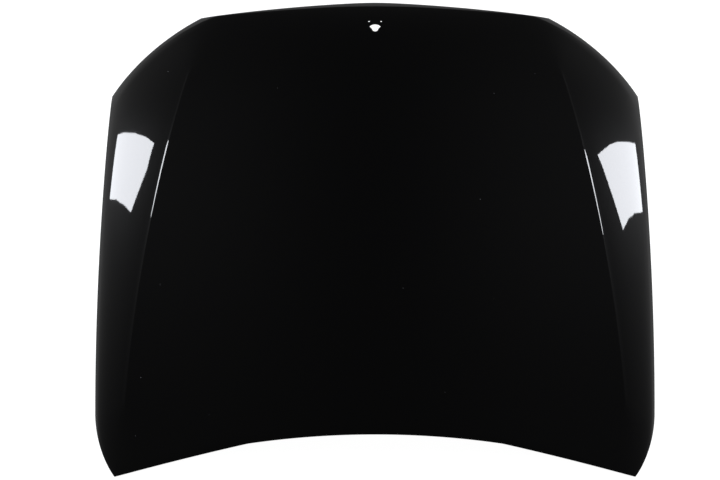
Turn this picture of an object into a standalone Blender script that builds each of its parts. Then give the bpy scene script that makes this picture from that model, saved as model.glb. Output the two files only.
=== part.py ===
"""Car bonnet: a hemmed outer skin over a pressed inner frame, lying convex side up.

Units are metres. +Y points to the front of the car, +X to the right of someone who looks
down on the bonnet with its nose at the top, and +Z is up. The origin is on the floor, under
the middle of the bonnet's box. The bonnet stands on its nose lip and its two rear corners.
"""
import math

import bmesh
import bpy
from mathutils import Matrix, Vector

# Outline seen from above
HALF_WIDTH = 0.7505
WIDEST_Y = -0.470
SIDE_TAPER = 0.021
SIDE_RADIUS = 12.5
SHOULDER_Y = 0.3835
NOSE_Y = 0.6366
NOSE_POINT_SLOPE = 0.0522
NOSE_POINT_BLEND = 0.050
FRONT_EDGE_RADIUS = 4.96
FRONT_CORNER_X = 0.4645
CUT_BULGE = 0.017
REAR_CORNER_RADIUS = 0.290
REAR_Y = -0.5114
REAR_RADIUS = 2.13
KINK_X = 0.337
KINK_SLOPE = 0.240
REAR_OUTER_RADIUS = 6.1

# Crown of the outer face
DOME_RADIUS_ACROSS = 4.2
DOME_RADIUS_ALONG = 5.0
DOME_Y = -0.05
PITCH = 0.0600
NOSE_START_Y = 0.20
NOSE_DROP = 0.130
NOSE_POWER = 2.7
NOSE_DROP_FADE = 0.35
CREASE_X = 0.5985
CREASE_SLOPE = 0.20
CREASE_BEND = 0.11
CREASE_FILLET = 0.0015
CREASE_FADE_START = 0.42
CREASE_FADE_LENGTH = 0.16
CREASE_FADE_FILLET = 0.044
SHOULDER_SLOPE = 0.152
SHOULDER_BEND = 0.228
SHOULDER_TOP_SLOPE = 0.55
SHOULDER_HOLLOW = 0.002
SIDE_ROLL = 0.05
SIDE_ROLL_POWER = 8
REAR_ROLL = 0.003
REAR_ROLL_WIDTH = 0.025
FRONT_ROLL = 0.005
FRONT_ROLL_WIDTH = 0.030
CUT_ROLL = 0.004
CUT_ROLL_WIDTH = 0.025

# Sheets and hem
SKIN = 0.0010
FRAME = 0.0008
GAP = 0.0003
HEM_FLANGE = 0.009
EDGE_STRIP = 0.0125

# Lattice of the inner frame
BLOCK_INSET = 0.025
EDGE_DEPTH = 0.012
RIB_DEPTH = 0.022
RIB_HALF = 0.018
POCKET_RUN = 0.013
POCKET_DEPTH = 0.005
POCKET_FLANGE = 0.010
POCKET_CORNER = 0.034
COLUMN_LINES = (-1.0, -0.6, -0.2, 0.2, 0.6, 1.0)
ROW_LINES = (0.0, 0.125, 0.305, 0.485, 0.665, 0.85, 1.0)
PAD_RUN = 0.009

# Hinge seats, in the rear row's outer cells
HINGE_FROM_SIDE = 0.1855
HINGE_FROM_REAR = 0.0144
HINGE_PAD = (0.042, 0.088)
HINGE_BOLT_PITCH = 0.050
HINGE_BOLT_HOLE = 0.009
HINGE_PAD_DROP = 0.003
HINGE_PLATE = (0.032, 0.078)
HINGE_PLATE_THICKNESS = 0.0018
HINGE_PLATE_FLANGE = 0.006
HINGE_NUT = (0.013, 0.0065)
HINGE_X = HALF_WIDTH - HINGE_FROM_SIDE
HINGE_Y = REAR_Y + HINGE_FROM_REAR

# Striker seats, in the front row
STRIKER_X = 0.230
STRIKER_FROM_NOSE = 0.1146
STRIKER_Y = NOSE_Y - STRIKER_FROM_NOSE
STRIKER_PAD = (0.076, 0.036)
STRIKER_PLATE = (0.066, 0.026)
STRIKER_PLATE_THICKNESS = 0.003
STRIKER_PLATE_CORNER = 0.006
STRIKER_BOLT_PITCH = 0.050
STRIKER_BOLT = 0.006
STRIKER_BOLT_END = 0.002
STRIKER_HEAD = (0.010, 0.005)
STRIKER_HEAD_FLANGE = (0.013, 0.0015)
STRIKER_NUT = (0.010, 0.005)
STRIKER_REINFORCEMENT = (0.070, 0.030)
STRIKER_REINFORCEMENT_THICKNESS = 0.0020
STRIKER_REINFORCEMENT_CORNER = 0.005
LOOP_WIRE = 0.008
LOOP_WIDTH = 0.030
LOOP_HEIGHT = 0.036
LOOP_BEND = 0.008

# Rubber buffers, in the front row's outer cells
BUFFER_FROM_CORNER = 0.0095
BUFFER_FROM_NOSE = 0.1366
BUFFER_X = FRONT_CORNER_X - BUFFER_FROM_CORNER
BUFFER_Y = NOSE_Y - BUFFER_FROM_NOSE
BUFFER_PAD = (0.040, 0.036)
BUFFER_HOLE = 0.0100
BUFFER_HEAD = (0.024, 0.013)
BUFFER_TIP = (0.017, 0.003)
BUFFER_BARB = (0.013, 0.005)
BUFFER_BARB_TIP = (0.007, 0.0035)

# Badge holes in the nose and the opening behind them
BADGE_FROM_NOSE = 0.0732
BADGE_Y = NOSE_Y - BADGE_FROM_NOSE
BADGE_ARC = 0.018
BADGE_ARC_Y = -0.0085
BADGE_HALF_ANGLE = 56.0
BADGE_LOBE = 0.008
BADGE_LOBE_Y = -0.0075
BADGE_ARC_STEPS = 8
BADGE_LOBE_STEPS = 6
PIN_HOLE = 0.0045
PIN_X = 0.016
PIN_Y = 0.0195
ACCESS = (0.066, 0.050)
ACCESS_CORNER = 0.012
ACCESS_AHEAD = 0.0036
ACCESS_Y = BADGE_Y + ACCESS_AHEAD

# Anti-flutter mastic between the pocket tops and the skin
MASTIC = (0.030, 0.008)
MASTIC_TOP_GAP = 0.0009
MASTIC_FOOT_GAP = 0.0004
MASTIC_COLUMNS = (1, 2, 3)
MASTIC_ROWS = (0, 1, 2, 3)

# How finely the sheets and round pieces are divided
ROUND_SIDES = 12
HIDDEN_SIDES = 8
LOOP_BEND_STEPS = 4
DOME_COLUMNS = 5
SHOULDER_COLUMNS = 3
ROLL_START = 0.70
CREASE_MARGIN = 0.085
CREASE_BAND = 0.006
CORNER_ROWS = 4
SIDE_ROWS = 7
CUT_ROWS = 5
CELL_STEPS = 3
FOLD_STEPS = 3

FOLD_RADIUS = (2 * SKIN + FRAME + 2 * GAP) / 2
FLANGE_DEPTH = SKIN + GAP
NORMAL_STEP = 0.0001
CUT_REACH = 0.001


def front_y(x):
    """Front edge: a slack V with a blunt point, drawn on a wide arc."""
    point = math.hypot(x, NOSE_POINT_BLEND) - NOSE_POINT_BLEND
    return NOSE_Y - NOSE_POINT_SLOPE * point - x * x / (2 * FRONT_EDGE_RADIUS)


def rear_y(x):
    """Rear edge: an arc in the middle, a kink on each side, then a flatter arc."""
    x = abs(x)
    inner = min(x, KINK_X)
    outer = max(0.0, x - KINK_X)
    y = REAR_Y - inner * inner / (2 * REAR_RADIUS)
    return y - KINK_SLOPE * outer - outer * outer / (2 * REAR_OUTER_RADIUS)


def side_x(y):
    along = y - WIDEST_Y
    return HALF_WIDTH - SIDE_TAPER * along - along * along / (2 * SIDE_RADIUS)


def corner_x(y):
    """Rear corner arc, which leaves the side where that is at its widest."""
    fall = min(WIDEST_Y - y, REAR_CORNER_RADIUS)
    return HALF_WIDTH - REAR_CORNER_RADIUS + math.sqrt(REAR_CORNER_RADIUS ** 2 - fall ** 2)


def tip_point():
    """Rear tip, where the corner arc meets the rear edge."""
    x = HALF_WIDTH
    for _ in range(40):
        x = corner_x(rear_y(x))
    return x, rear_y(x)


TIP_X, TIP_Y = tip_point()
SHOULDER = Vector((side_x(SHOULDER_Y), SHOULDER_Y))
FRONT_CORNER = Vector((FRONT_CORNER_X, front_y(FRONT_CORNER_X)))
CUT_CHORD = FRONT_CORNER - SHOULDER
CUT_OUTWARD = Vector((CUT_CHORD.y, -CUT_CHORD.x)).normalized()
CUT_RADIUS = CUT_CHORD.length_squared / (8 * CUT_BULGE) + CUT_BULGE / 2
CUT_CENTRE = (SHOULDER + FRONT_CORNER) / 2 - CUT_OUTWARD * (CUT_RADIUS - CUT_BULGE)


def half_width(y):
    """Half width of the outline: rear corner arc, side, then headlight cut."""
    if y < WIDEST_Y:
        return corner_x(y)
    if y <= SHOULDER_Y:
        return side_x(y)
    return CUT_CENTRE.x + math.sqrt(CUT_RADIUS ** 2 - (y - CUT_CENTRE.y) ** 2)


def crease_x(y):
    return CREASE_X - CREASE_SLOPE * y - CREASE_BEND * y * y


def cut_distance(x, y):
    """How far a point lies inside the headlight cut."""
    along = (Vector((x, y)) - SHOULDER).dot(CUT_CHORD) / CUT_CHORD.length_squared
    along = min(1.0, max(0.0, along))
    bulge = CUT_BULGE * (1 - (2 * along - 1) ** 2)
    return CUT_OUTWARD.dot(FRONT_CORNER - Vector((x, y))) + bulge


def roll(distance, width, drop):
    return drop * max(0.0, 1 - distance / width) ** 2


def crown(x, y):
    """Height of the outer face before the bonnet is set down on the floor."""
    x = abs(x)
    z = PITCH * (y - NOSE_Y) - (y - DOME_Y) ** 2 / (2 * DOME_RADIUS_ALONG)
    z -= x * x / (2 * DOME_RADIUS_ACROSS)
    nose = max(0.0, y - NOSE_START_Y) / (NOSE_Y - NOSE_START_Y)
    z -= NOSE_DROP * nose ** NOSE_POWER * (1 - NOSE_DROP_FADE * (x / HALF_WIDTH) ** 2)
    fade = min(1.0, max(0.0, (abs(y) - CREASE_FADE_START) / CREASE_FADE_LENGTH))
    fillet = CREASE_FILLET + (CREASE_FADE_FILLET - CREASE_FILLET) * fade * fade * (3 - 2 * fade)
    past = x - crease_x(y)
    past = (past + math.hypot(past, fillet)) / 2
    shoulder = side_x(y) - crease_x(y)
    z -= SHOULDER_SLOPE * past + SHOULDER_BEND * past * past / (2 * shoulder)
    z -= SIDE_ROLL * shoulder * (past / shoulder) ** SIDE_ROLL_POWER
    z -= ((SHOULDER_TOP_SLOPE - SHOULDER_SLOPE) * SHOULDER_HOLLOW
          * (1 - math.exp(-past / SHOULDER_HOLLOW)))
    z -= roll(y - rear_y(x), REAR_ROLL_WIDTH, REAR_ROLL)
    z -= roll(front_y(x) - y, FRONT_ROLL_WIDTH, FRONT_ROLL)
    z -= roll(cut_distance(x, y), CUT_ROLL_WIDTH, CUT_ROLL)
    return z


def face_normal(x, y):
    step = NORMAL_STEP
    slope_x = (crown(x + step, y) - crown(x - step, y)) / (2 * step)
    slope_y = (crown(x, y + step) - crown(x, y - step)) / (2 * step)
    return Vector((-slope_x, -slope_y, 1)).normalized()


def crease_share(y):
    """Share of the half width at which the crease lies, kept off the panel's corners."""
    return min(crease_x(y), half_width(y) - CREASE_MARGIN) / half_width(y)


def column_shares(y):
    """Shares of the half width at which the skin is divided, from the centre to the side."""
    crease = crease_share(y)
    band = CREASE_BAND / half_width(y)
    rolled = crease + ROLL_START * (1 - crease)
    shares = [(crease - band) * i / DOME_COLUMNS for i in range(DOME_COLUMNS + 1)]
    shares += [crease]
    shares += [crease + band + (rolled - crease - band) * i / SHOULDER_COLUMNS
               for i in range(SHOULDER_COLUMNS + 1)]
    return shares + [1.0]


def side_rows():
    """Heights along the side at which the sheets are divided, from the rear tip forward."""
    corner = [TIP_Y + (WIDEST_Y - TIP_Y) * i / CORNER_ROWS for i in range(CORNER_ROWS)]
    side = [WIDEST_Y + (SHOULDER_Y - WIDEST_Y) * i / SIDE_ROWS for i in range(SIDE_ROWS)]
    cut = [SHOULDER_Y + (FRONT_CORNER.y - SHOULDER_Y) * i / CUT_ROWS for i in range(CUT_ROWS + 1)]
    return corner + side + cut


ROWS = side_rows()
HALF_COLUMNS = len(column_shares(0.0)) - 1
COLUMNS = 2 * HALF_COLUMNS
ROW_COUNT = len(ROWS) - 1


def outline():
    """Outline stations: rear edge to the right, right side, front edge back, left side."""
    rear = column_shares(TIP_Y)
    front = column_shares(FRONT_CORNER.y)
    rear_x = [-share * TIP_X for share in rear[:0:-1]] + [share * TIP_X for share in rear]
    front_x = [share * FRONT_CORNER_X for share in front[::-1]]
    front_x += [-share * FRONT_CORNER_X for share in front[1:]]
    points = [Vector((x, rear_y(x))) for x in rear_x]
    points += [Vector((half_width(y), y)) for y in ROWS[1:-1]]
    points += [Vector((x, front_y(x))) for x in front_x]
    points += [Vector((-half_width(y), y)) for y in ROWS[-2:0:-1]]
    return points


OUTLINE = outline()
STATIONS = len(OUTLINE)


def outward(i):
    """Mitred outward direction at a station, longer at a corner."""
    back = (OUTLINE[i] - OUTLINE[i - 1]).normalized()
    ahead = (OUTLINE[(i + 1) % STATIONS] - OUTLINE[i]).normalized()
    first = Vector((back.y, -back.x))
    second = Vector((ahead.y, -ahead.x))
    return (first + second) / (1 + first.dot(second))


OUTWARD = [outward(i) for i in range(STATIONS)]


def inset_plan(i, distance):
    """Plan point at a distance in from a station, measured in a straight line on the face."""
    edge = OUTLINE[i]
    reach = distance
    for _ in range(4):
        plan = edge - OUTWARD[i] * reach
        chord = math.hypot((plan - edge).length, crown(*plan) - crown(*edge))
        reach *= distance * OUTWARD[i].length / chord
    return edge - OUTWARD[i] * reach


def hem_frame(i):
    """Edge point, strip's inner point, outward vector and normal at a station."""
    edge = Vector((*OUTLINE[i], crown(*OUTLINE[i])))
    plan = inset_plan(i, EDGE_STRIP)
    inner = Vector((*plan, crown(*plan)))
    out = (edge - inner).normalized()
    normal = face_normal(*((OUTLINE[i] + plan) / 2))
    normal = (normal - out * normal.dot(out)).normalized()
    return edge, inner, out * OUTWARD[i].length, normal


HEM = [hem_frame(i) for i in range(STATIONS)]


def hem_section(i):
    """Outer face of the hem at a station, from the strip to the flange's free end."""
    edge, _, out, normal = HEM[i]
    centre = edge - out * FOLD_RADIUS - normal * FOLD_RADIUS
    points = []
    for step in range(FOLD_STEPS + 1):
        angle = math.pi * step / FOLD_STEPS
        points.append(centre + (normal * math.cos(angle) + out * math.sin(angle)) * FOLD_RADIUS)
    points.append(points[-1] - out * HEM_FLANGE)
    return points


HEM_SECTIONS = [hem_section(i) for i in range(STATIONS)]
LIFT = -min(point.z for section in HEM_SECTIONS for point in section)


def face_point(x, y, depth=0.0):
    """Point at a depth below the outer face, square to it."""
    return Vector((x, y, crown(x, y) + LIFT)) - face_normal(x, y) * depth


class Region:
    """Plan inside an inset outline: s runs -1 to 1 across, w runs 0 to 1 to the front."""

    def __init__(self, inset):
        ring = [inset_plan(i, inset) for i in range(STATIONS)]
        self.rear = ring[HALF_COLUMNS:COLUMNS + 1]
        self.side = ring[COLUMNS:COLUMNS + ROW_COUNT + 1]
        front = ring[COLUMNS + ROW_COUNT:COLUMNS + ROW_COUNT + HALF_COLUMNS + 1]
        self.front = front[::-1]
        self.ring = ring

    def length(self):
        return self.side[-1].y - self.side[0].y

    def width(self, w):
        """Half width at w."""
        y = self.side[0].y + w * self.length()
        return interpolate(y, [p.y for p in self.side], [p.x for p in self.side])

    def point(self, s, w):
        rear = interpolate(abs(s), [p.x / self.rear[-1].x for p in self.rear],
                           [p.y for p in self.rear])
        front = interpolate(abs(s), [p.x / self.front[-1].x for p in self.front],
                            [p.y for p in self.front])
        return Vector((s * self.width(w), rear + (front - rear) * w))

    def locate(self, x, y):
        """s and w of a plan point."""
        s, w = 0.0, 0.5
        for _ in range(20):
            s = x / self.width(w)
            rear = self.point(s, 0.0).y
            w = (y - rear) / (self.point(s, 1.0).y - rear)
        return s, w


def interpolate(x, xs, ys):
    for i in range(1, len(xs)):
        if x <= xs[i] or i == len(xs) - 1:
            share = (x - xs[i - 1]) / (xs[i] - xs[i - 1])
            return ys[i - 1] + share * (ys[i] - ys[i - 1])


def clear_scene():
    for obj in list(bpy.data.objects):
        bpy.data.objects.remove(obj, do_unlink=True)


def material(name, colour, roughness, metallic, coat=0.0):
    made = bpy.data.materials.new(name)
    made.use_nodes = True
    shader = made.node_tree.nodes["Principled BSDF"]
    shader.inputs["Base Color"].default_value = (*colour, 1.0)
    shader.inputs["Roughness"].default_value = roughness
    shader.inputs["Metallic"].default_value = metallic
    shader.inputs["Coat Weight"].default_value = coat
    return made


def add_object(name, bm, finish, place=None):
    """Turn a bmesh into a named object, placed by a matrix."""
    mesh = bpy.data.meshes.new(name)
    bm.to_mesh(mesh)
    bm.free()
    if finish:
        mesh.materials.append(finish)
    obj = bpy.data.objects.new(name, mesh)
    bpy.context.scene.collection.objects.link(obj)
    if place:
        obj.matrix_world = place
    return obj


def add_ring(bm, points):
    return [bm.verts.new(point) for point in points]


def join_rings(bm, first, second, split=False):
    """Faces between two rings; split ones share their diagonals with a sheet they nest in."""
    count = len(first)
    for i in range(count):
        j = (i + 1) % count
        if split:
            bm.faces.new((first[i], first[j], second[j]))
            bm.faces.new((first[i], second[j], second[i]))
        else:
            bm.faces.new((first[i], first[j], second[j], second[i]))


def zip_sides(bm, first, second):
    """Triangles between two rows of vertices that differ in number."""
    first_marks = length_marks(first)
    second_marks = length_marks(second)
    i = j = 0
    while i < len(first) - 1 or j < len(second) - 1:
        last_first = i == len(first) - 1
        last_second = j == len(second) - 1
        if last_second or (not last_first and first_marks[i + 1] <= second_marks[j + 1]):
            bm.faces.new((first[i], first[i + 1], second[j]))
            i += 1
        else:
            bm.faces.new((first[i], second[j + 1], second[j]))
            j += 1


def length_marks(verts):
    marks = [0.0]
    for a, b in zip(verts, verts[1:]):
        marks.append(marks[-1] + (b.co - a.co).length)
    return [mark / marks[-1] for mark in marks]


def face_up(bm):
    """Turn an open sheet so that its faces look up."""
    bmesh.ops.recalc_face_normals(bm, faces=bm.faces)
    bm.normal_update()
    if sum(face.normal.z * face.calc_area() for face in bm.faces) < 0:
        bmesh.ops.reverse_faces(bm, faces=bm.faces)


def add_wall(obj, thickness):
    wall = obj.modifiers.new("wall", "SOLIDIFY")
    wall.thickness = thickness
    wall.offset = -1.0
    wall.use_even_offset = True
    wall.use_quality_normals = True


def cut(obj, cutter):
    boolean = obj.modifiers.new("cut_" + cutter.name, "BOOLEAN")
    boolean.operation = "DIFFERENCE"
    boolean.solver = "EXACT"
    boolean.object = cutter


def hide_cutter(obj):
    obj.display_type = "WIRE"
    obj.hide_render = True


def circle(radius, count, z=0.0, centre=(0.0, 0.0)):
    return [Vector((centre[0] + radius * math.cos(2 * math.pi * i / count),
                    centre[1] + radius * math.sin(2 * math.pi * i / count), z))
            for i in range(count)]


def hexagon(across, z, count=12):
    """Six or twelve points round a hexagon: its corners, then also its flats' middles."""
    points = circle(across / 2 / math.cos(math.pi / 6), count, z)
    flats = circle(across / 2, count, z)
    return [flats[i] if count == 12 and i % 2 else points[i] for i in range(count)]


def rounded(half_x, half_y, radius, steps=2):
    """Rounded rectangle from its upper right corner round, arcs of the given steps."""
    radius = min(radius, half_x, half_y)
    points = []
    for quarter, (sign_x, sign_y) in enumerate(((1, 1), (-1, 1), (-1, -1), (1, -1))):
        for step in range(steps + 1):
            angle = math.pi / 2 * (quarter + step / steps)
            points.append((sign_x * (half_x - radius) + radius * math.cos(angle),
                           sign_y * (half_y - radius) + radius * math.sin(angle)))
    return points


def prism(bm, points, low, high):
    """Closed prism over a plan outline."""
    base = bm.faces.new(add_ring(bm, [Vector((p[0], p[1], low)) for p in points]))
    raised = bmesh.ops.extrude_face_region(bm, geom=[base])
    verts = [item for item in raised["geom"] if isinstance(item, bmesh.types.BMVert)]
    bmesh.ops.translate(bm, vec=(0, 0, high - low), verts=verts)


def stack(bm, rings, hollow=False):
    """Closed solid through a stack of rings, with flat ends or, hollow, joined end to end."""
    loops = [add_ring(bm, ring) for ring in rings]
    for first, second in zip(loops, loops[1:]):
        join_rings(bm, first, second)
    if hollow:
        join_rings(bm, loops[-1], loops[0])
    else:
        bm.faces.new(loops[0])
        bm.faces.new(loops[-1])
    bmesh.ops.recalc_face_normals(bm, faces=bm.faces)


def solid(name, bm, finish, place=None, smooth_angle=35):
    bmesh.ops.recalc_face_normals(bm, faces=bm.faces)
    obj = add_object(name, bm, finish, place)
    obj.data.shade_smooth()
    obj.data.set_sharp_from_angle(angle=math.radians(smooth_angle))
    return obj


class Pad:
    """Flat seat pressed into the inner frame; its z axis points up to the skin."""

    def __init__(self, side, x, y, size, drop=0.0, level=False):
        self.side = side
        self.plan = Vector((side * x, y))
        self.size = size
        centre = face_point(*self.plan, RIB_DEPTH + drop)
        up = Vector((0, 0, 1)) if level else face_normal(*self.plan)
        across = Vector((1, 0, 0))
        across = (across - up * across.dot(up)).normalized()
        along = up.cross(across)
        self.place = Matrix((across, along, up)).transposed().to_4x4()
        self.place.translation = centre

    def foot(self):
        """Where the pad's walls leave the rib floor."""
        half_x = self.size[0] / 2 + PAD_RUN
        half_y = self.size[1] / 2 + PAD_RUN
        return [face_point(self.plan.x + dx, self.plan.y + dy, RIB_DEPTH)
                for dx, dy in rounded(half_x, half_y, PAD_RUN * 2)]

    def top(self):
        return [self.place @ Vector((dx, dy, 0.0))
                for dx, dy in rounded(self.size[0] / 2, self.size[1] / 2, PAD_RUN)]


def make_skin(finish):
    """Outer skin: one sheet from hem flange to hem flange, given its wall by Solidify."""
    region = Region(EDGE_STRIP)
    bm = bmesh.new()
    bmesh.ops.create_grid(bm, x_segments=COLUMNS, y_segments=ROW_COUNT, size=1.0)
    border = {}
    for vert in bm.verts:
        column = round((vert.co.x + 1) / 2 * COLUMNS)
        row = round((vert.co.y + 1) / 2 * ROW_COUNT)
        plan = skin_plan(region, column, row)
        vert.co = Vector((*plan, crown(*plan) + LIFT))
        if column in (0, COLUMNS) or row in (0, ROW_COUNT):
            border[station(column, row)] = vert
    loops = [[border[i] for i in range(STATIONS)]]
    for step in range(len(HEM_SECTIONS[0])):
        lifted = [section[step] + Vector((0, 0, LIFT)) for section in HEM_SECTIONS]
        loops.append(add_ring(bm, lifted))
    for first, second in zip(loops[:-2], loops[1:-1]):
        join_rings(bm, first, second, split=True)
    join_rings(bm, loops[-1], loops[-2], split=True)
    face_up(bm)
    skin = add_object("outer_skin", bm, finish)
    skin.data.shade_smooth()
    add_wall(skin, SKIN)
    return skin


def station(column, row):
    """Index of the outline station beside a border vertex of the skin's grid."""
    if row == 0:
        return column
    if row == ROW_COUNT:
        return COLUMNS + ROW_COUNT + COLUMNS - column
    return COLUMNS + row if column == COLUMNS else STATIONS - row


def skin_plan(region, column, row):
    if column in (0, COLUMNS) or row in (0, ROW_COUNT):
        return region.ring[station(column, row)]
    w = (region.side[row].y - region.side[0].y) / region.length()
    share = column_shares(ROWS[row])[abs(column - HALF_COLUMNS)]
    return region.point(math.copysign(share, column - HALF_COLUMNS), w)


def cell_ring(region, columns, rows, inset, corner):
    """Rounded ring inside a lattice cell, in plan."""
    s = (columns[0] + columns[1]) / 2
    w = (rows[0] + rows[1]) / 2
    half_x = (columns[1] - columns[0]) / 2 * region.width(w) - inset
    half_y = (rows[1] - rows[0]) / 2 * region.length() - inset
    return [region.point(s + dx / region.width(w), w + dy / region.length())
            for dx, dy in rounded(half_x, half_y, corner)]


def cell_border(columns, rows):
    """The s and w of a cell's border points, from its upper right corner round."""
    corners = [(columns[1], rows[1]), (columns[0], rows[1]),
               (columns[0], rows[0]), (columns[1], rows[0])]
    points = []
    for i, (s, w) in enumerate(corners):
        next_s, next_w = corners[(i + 1) % 4]
        for step in range(CELL_STEPS):
            share = step / CELL_STEPS
            points.append((s + (next_s - s) * share, w + (next_w - w) * share))
    return points


def lattice_point(region, s, w):
    """Point on the lattice lines; the ones on its border are less deep."""
    on_border = min(1 - abs(s), w, 1 - w) < 1e-6
    return face_point(*region.point(s, w), EDGE_DEPTH if on_border else RIB_DEPTH)


def turn_to_edge(points):
    """Start a rounded ring at the middle of its first arc, as the cell's border does."""
    return points[1:] + points[:1]


def add_pocket(bm, region, columns, rows, border):
    """Pocket pressed up towards the skin, with an opening in its top."""
    steps = ((RIB_HALF, POCKET_CORNER, RIB_DEPTH),
             (RIB_HALF + POCKET_RUN, POCKET_CORNER - POCKET_RUN / 2, POCKET_DEPTH),
             (RIB_HALF + POCKET_RUN + POCKET_FLANGE, POCKET_CORNER - POCKET_RUN, POCKET_DEPTH))
    outer = border
    for inset, corner, depth in steps:
        plan = turn_to_edge(cell_ring(region, columns, rows, inset, corner))
        ring = add_ring(bm, [face_point(*p, depth) for p in plan])
        join_rings(bm, outer, ring)
        outer = ring


def add_pad(bm, pad, border):
    foot = add_ring(bm, turn_to_edge(pad.foot()))
    top = add_ring(bm, turn_to_edge(pad.top()))
    join_rings(bm, border, foot)
    join_rings(bm, foot, top)
    bm.faces.new(top)


def add_plain_floor(bm, region, columns, rows, border):
    middle = region.point((columns[0] + columns[1]) / 2, (rows[0] + rows[1]) / 2)
    centre = bm.verts.new(face_point(*middle, RIB_DEPTH))
    for i, vert in enumerate(border):
        bm.faces.new((vert, border[(i + 1) % len(border)], centre))


def make_frame(finish, pads):
    """Inner frame: ribs and pockets, a wall up to the skin, and the flange in the hem."""
    region = Region(BLOCK_INSET)
    bm = bmesh.new()
    located = {}
    for pad in pads:
        s, w = region.locate(*pad.plan)
        column = max(i for i, line in enumerate(COLUMN_LINES[:-1]) if s >= line)
        row = max(i for i, line in enumerate(ROW_LINES[:-1]) if w >= line)
        located[column, row] = pad
    for column in range(len(COLUMN_LINES) - 1):
        for row in range(len(ROW_LINES) - 1):
            columns = COLUMN_LINES[column:column + 2]
            rows = ROW_LINES[row:row + 2]
            border = add_ring(bm, [lattice_point(region, s, w)
                                   for s, w in cell_border(columns, rows)])
            if (column, row) in located:
                add_pad(bm, located[column, row], border)
            elif row == len(ROW_LINES) - 2:
                add_plain_floor(bm, region, columns, rows, border)
            else:
                add_pocket(bm, region, columns, rows, border)
    add_perimeter(bm, region)
    bmesh.ops.remove_doubles(bm, verts=bm.verts, dist=1e-6)
    face_up(bm)
    frame = add_object("inner_frame", bm, finish)
    frame.data.shade_smooth()
    frame.data.set_sharp_from_angle(angle=math.radians(40))
    add_wall(frame, FRAME)
    return frame


def add_perimeter(bm, region):
    """Wall from the lattice up to the skin and the flange that lies in the hem."""
    rise = Vector((0, 0, LIFT))
    wall = add_ring(bm, [inner - normal * FLANGE_DEPTH + rise for _, inner, _, normal in HEM])
    lip = add_ring(bm, [edge - out * (FOLD_RADIUS + GAP) - normal * FLANGE_DEPTH + rise
                        for edge, _, out, normal in HEM])
    join_rings(bm, wall, lip, split=True)
    across = subdivided(COLUMN_LINES)
    along = subdivided(ROW_LINES)
    sides = ([(s, 0.0) for s in across], [(1.0, w) for w in along],
             [(s, 1.0) for s in across[::-1]], [(-1.0, w) for w in along[::-1]])
    starts = (0, COLUMNS, COLUMNS + ROW_COUNT, 2 * COLUMNS + ROW_COUNT)
    counts = (COLUMNS, ROW_COUNT, COLUMNS, ROW_COUNT)
    for side, start, count in zip(sides, starts, counts):
        inner = add_ring(bm, [lattice_point(region, s, w) for s, w in side])
        outer = [wall[(start + i) % STATIONS] for i in range(count + 1)]
        zip_sides(bm, inner, outer)


def subdivided(lines):
    values = []
    for first, second in zip(lines, lines[1:]):
        values += [first + (second - first) * step / CELL_STEPS for step in range(CELL_STEPS)]
    return values + [lines[-1]]


def badge_outline():
    """Fan-shaped badge hole: a wide arc towards the nose and a small lobe behind."""
    half = math.radians(BADGE_HALF_ANGLE)
    turns = [half * (1 - 2 * i / BADGE_ARC_STEPS) for i in range(BADGE_ARC_STEPS + 1)]
    arc = [(BADGE_ARC * math.sin(turn), BADGE_ARC_Y + BADGE_ARC * math.cos(turn)) for turn in turns]
    turns = [math.pi * i / BADGE_LOBE_STEPS for i in range(BADGE_LOBE_STEPS + 1)]
    lobe = [(-BADGE_LOBE * math.cos(turn), BADGE_LOBE_Y - BADGE_LOBE * math.sin(turn))
            for turn in turns]
    return arc + lobe


def make_badge_cutter():
    bm = bmesh.new()
    reach = 4 * SKIN
    prism(bm, badge_outline(), -reach, reach)
    for side in (-1, 1):
        prism(bm, circle(PIN_HOLE / 2, HIDDEN_SIDES, centre=(side * PIN_X, PIN_Y)), -reach, reach)
    bmesh.ops.recalc_face_normals(bm, faces=bm.faces)
    up = face_normal(0.0, BADGE_Y)
    across = Vector((1, 0, 0))
    place = Matrix((across, up.cross(across), up)).transposed().to_4x4()
    place.translation = face_point(0.0, BADGE_Y, SKIN / 2)
    cutter = add_object("badge_cutter", bm, None, place)
    hide_cutter(cutter)
    return cutter


def make_frame_cutter(hinges, strikers, buffers):
    """Every hole in the inner frame, as one cutter."""
    bm = bmesh.new()
    holes = []
    for pad in hinges:
        holes += [(pad, (0, side * HINGE_BOLT_PITCH / 2), HINGE_BOLT_HOLE) for side in (-1, 1)]
    for pad in strikers:
        holes += [(pad, (side * STRIKER_BOLT_PITCH / 2, 0), STRIKER_BOLT + 4 * GAP)
                  for side in (-1, 1)]
    holes += [(pad, (0, 0), BUFFER_HOLE) for pad in buffers]
    for pad, centre, width in holes:
        before = set(bm.verts)
        prism(bm, circle(width / 2, ROUND_SIDES, centre=centre), -4 * FRAME, 4 * FRAME)
        made = [vert for vert in bm.verts if vert not in before]
        bmesh.ops.transform(bm, matrix=pad.place, verts=made)
    before = set(bm.verts)
    prism(bm, rounded(ACCESS[0] / 2, ACCESS[1] / 2, ACCESS_CORNER, 3), 0.0, crown(0, 0) + LIFT)
    made = [vert for vert in bm.verts if vert not in before]
    bmesh.ops.translate(bm, vec=(0, ACCESS_Y, 0), verts=made)
    bmesh.ops.recalc_face_normals(bm, faces=bm.faces)
    cutter = add_object("frame_cutter", bm, None)
    hide_cutter(cutter)
    return cutter


def side_name(side):
    return "left" if side < 0 else "right"


def hole_cutter(name, low, high, holes, diameter, sides, place):
    bm = bmesh.new()
    for centre in holes:
        prism(bm, circle(diameter / 2, sides, centre=centre), low - CUT_REACH, high + CUT_REACH)
    bmesh.ops.recalc_face_normals(bm, faces=bm.faces)
    cutter = add_object(name + "_cutter", bm, None, place)
    hide_cutter(cutter)
    return cutter


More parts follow.
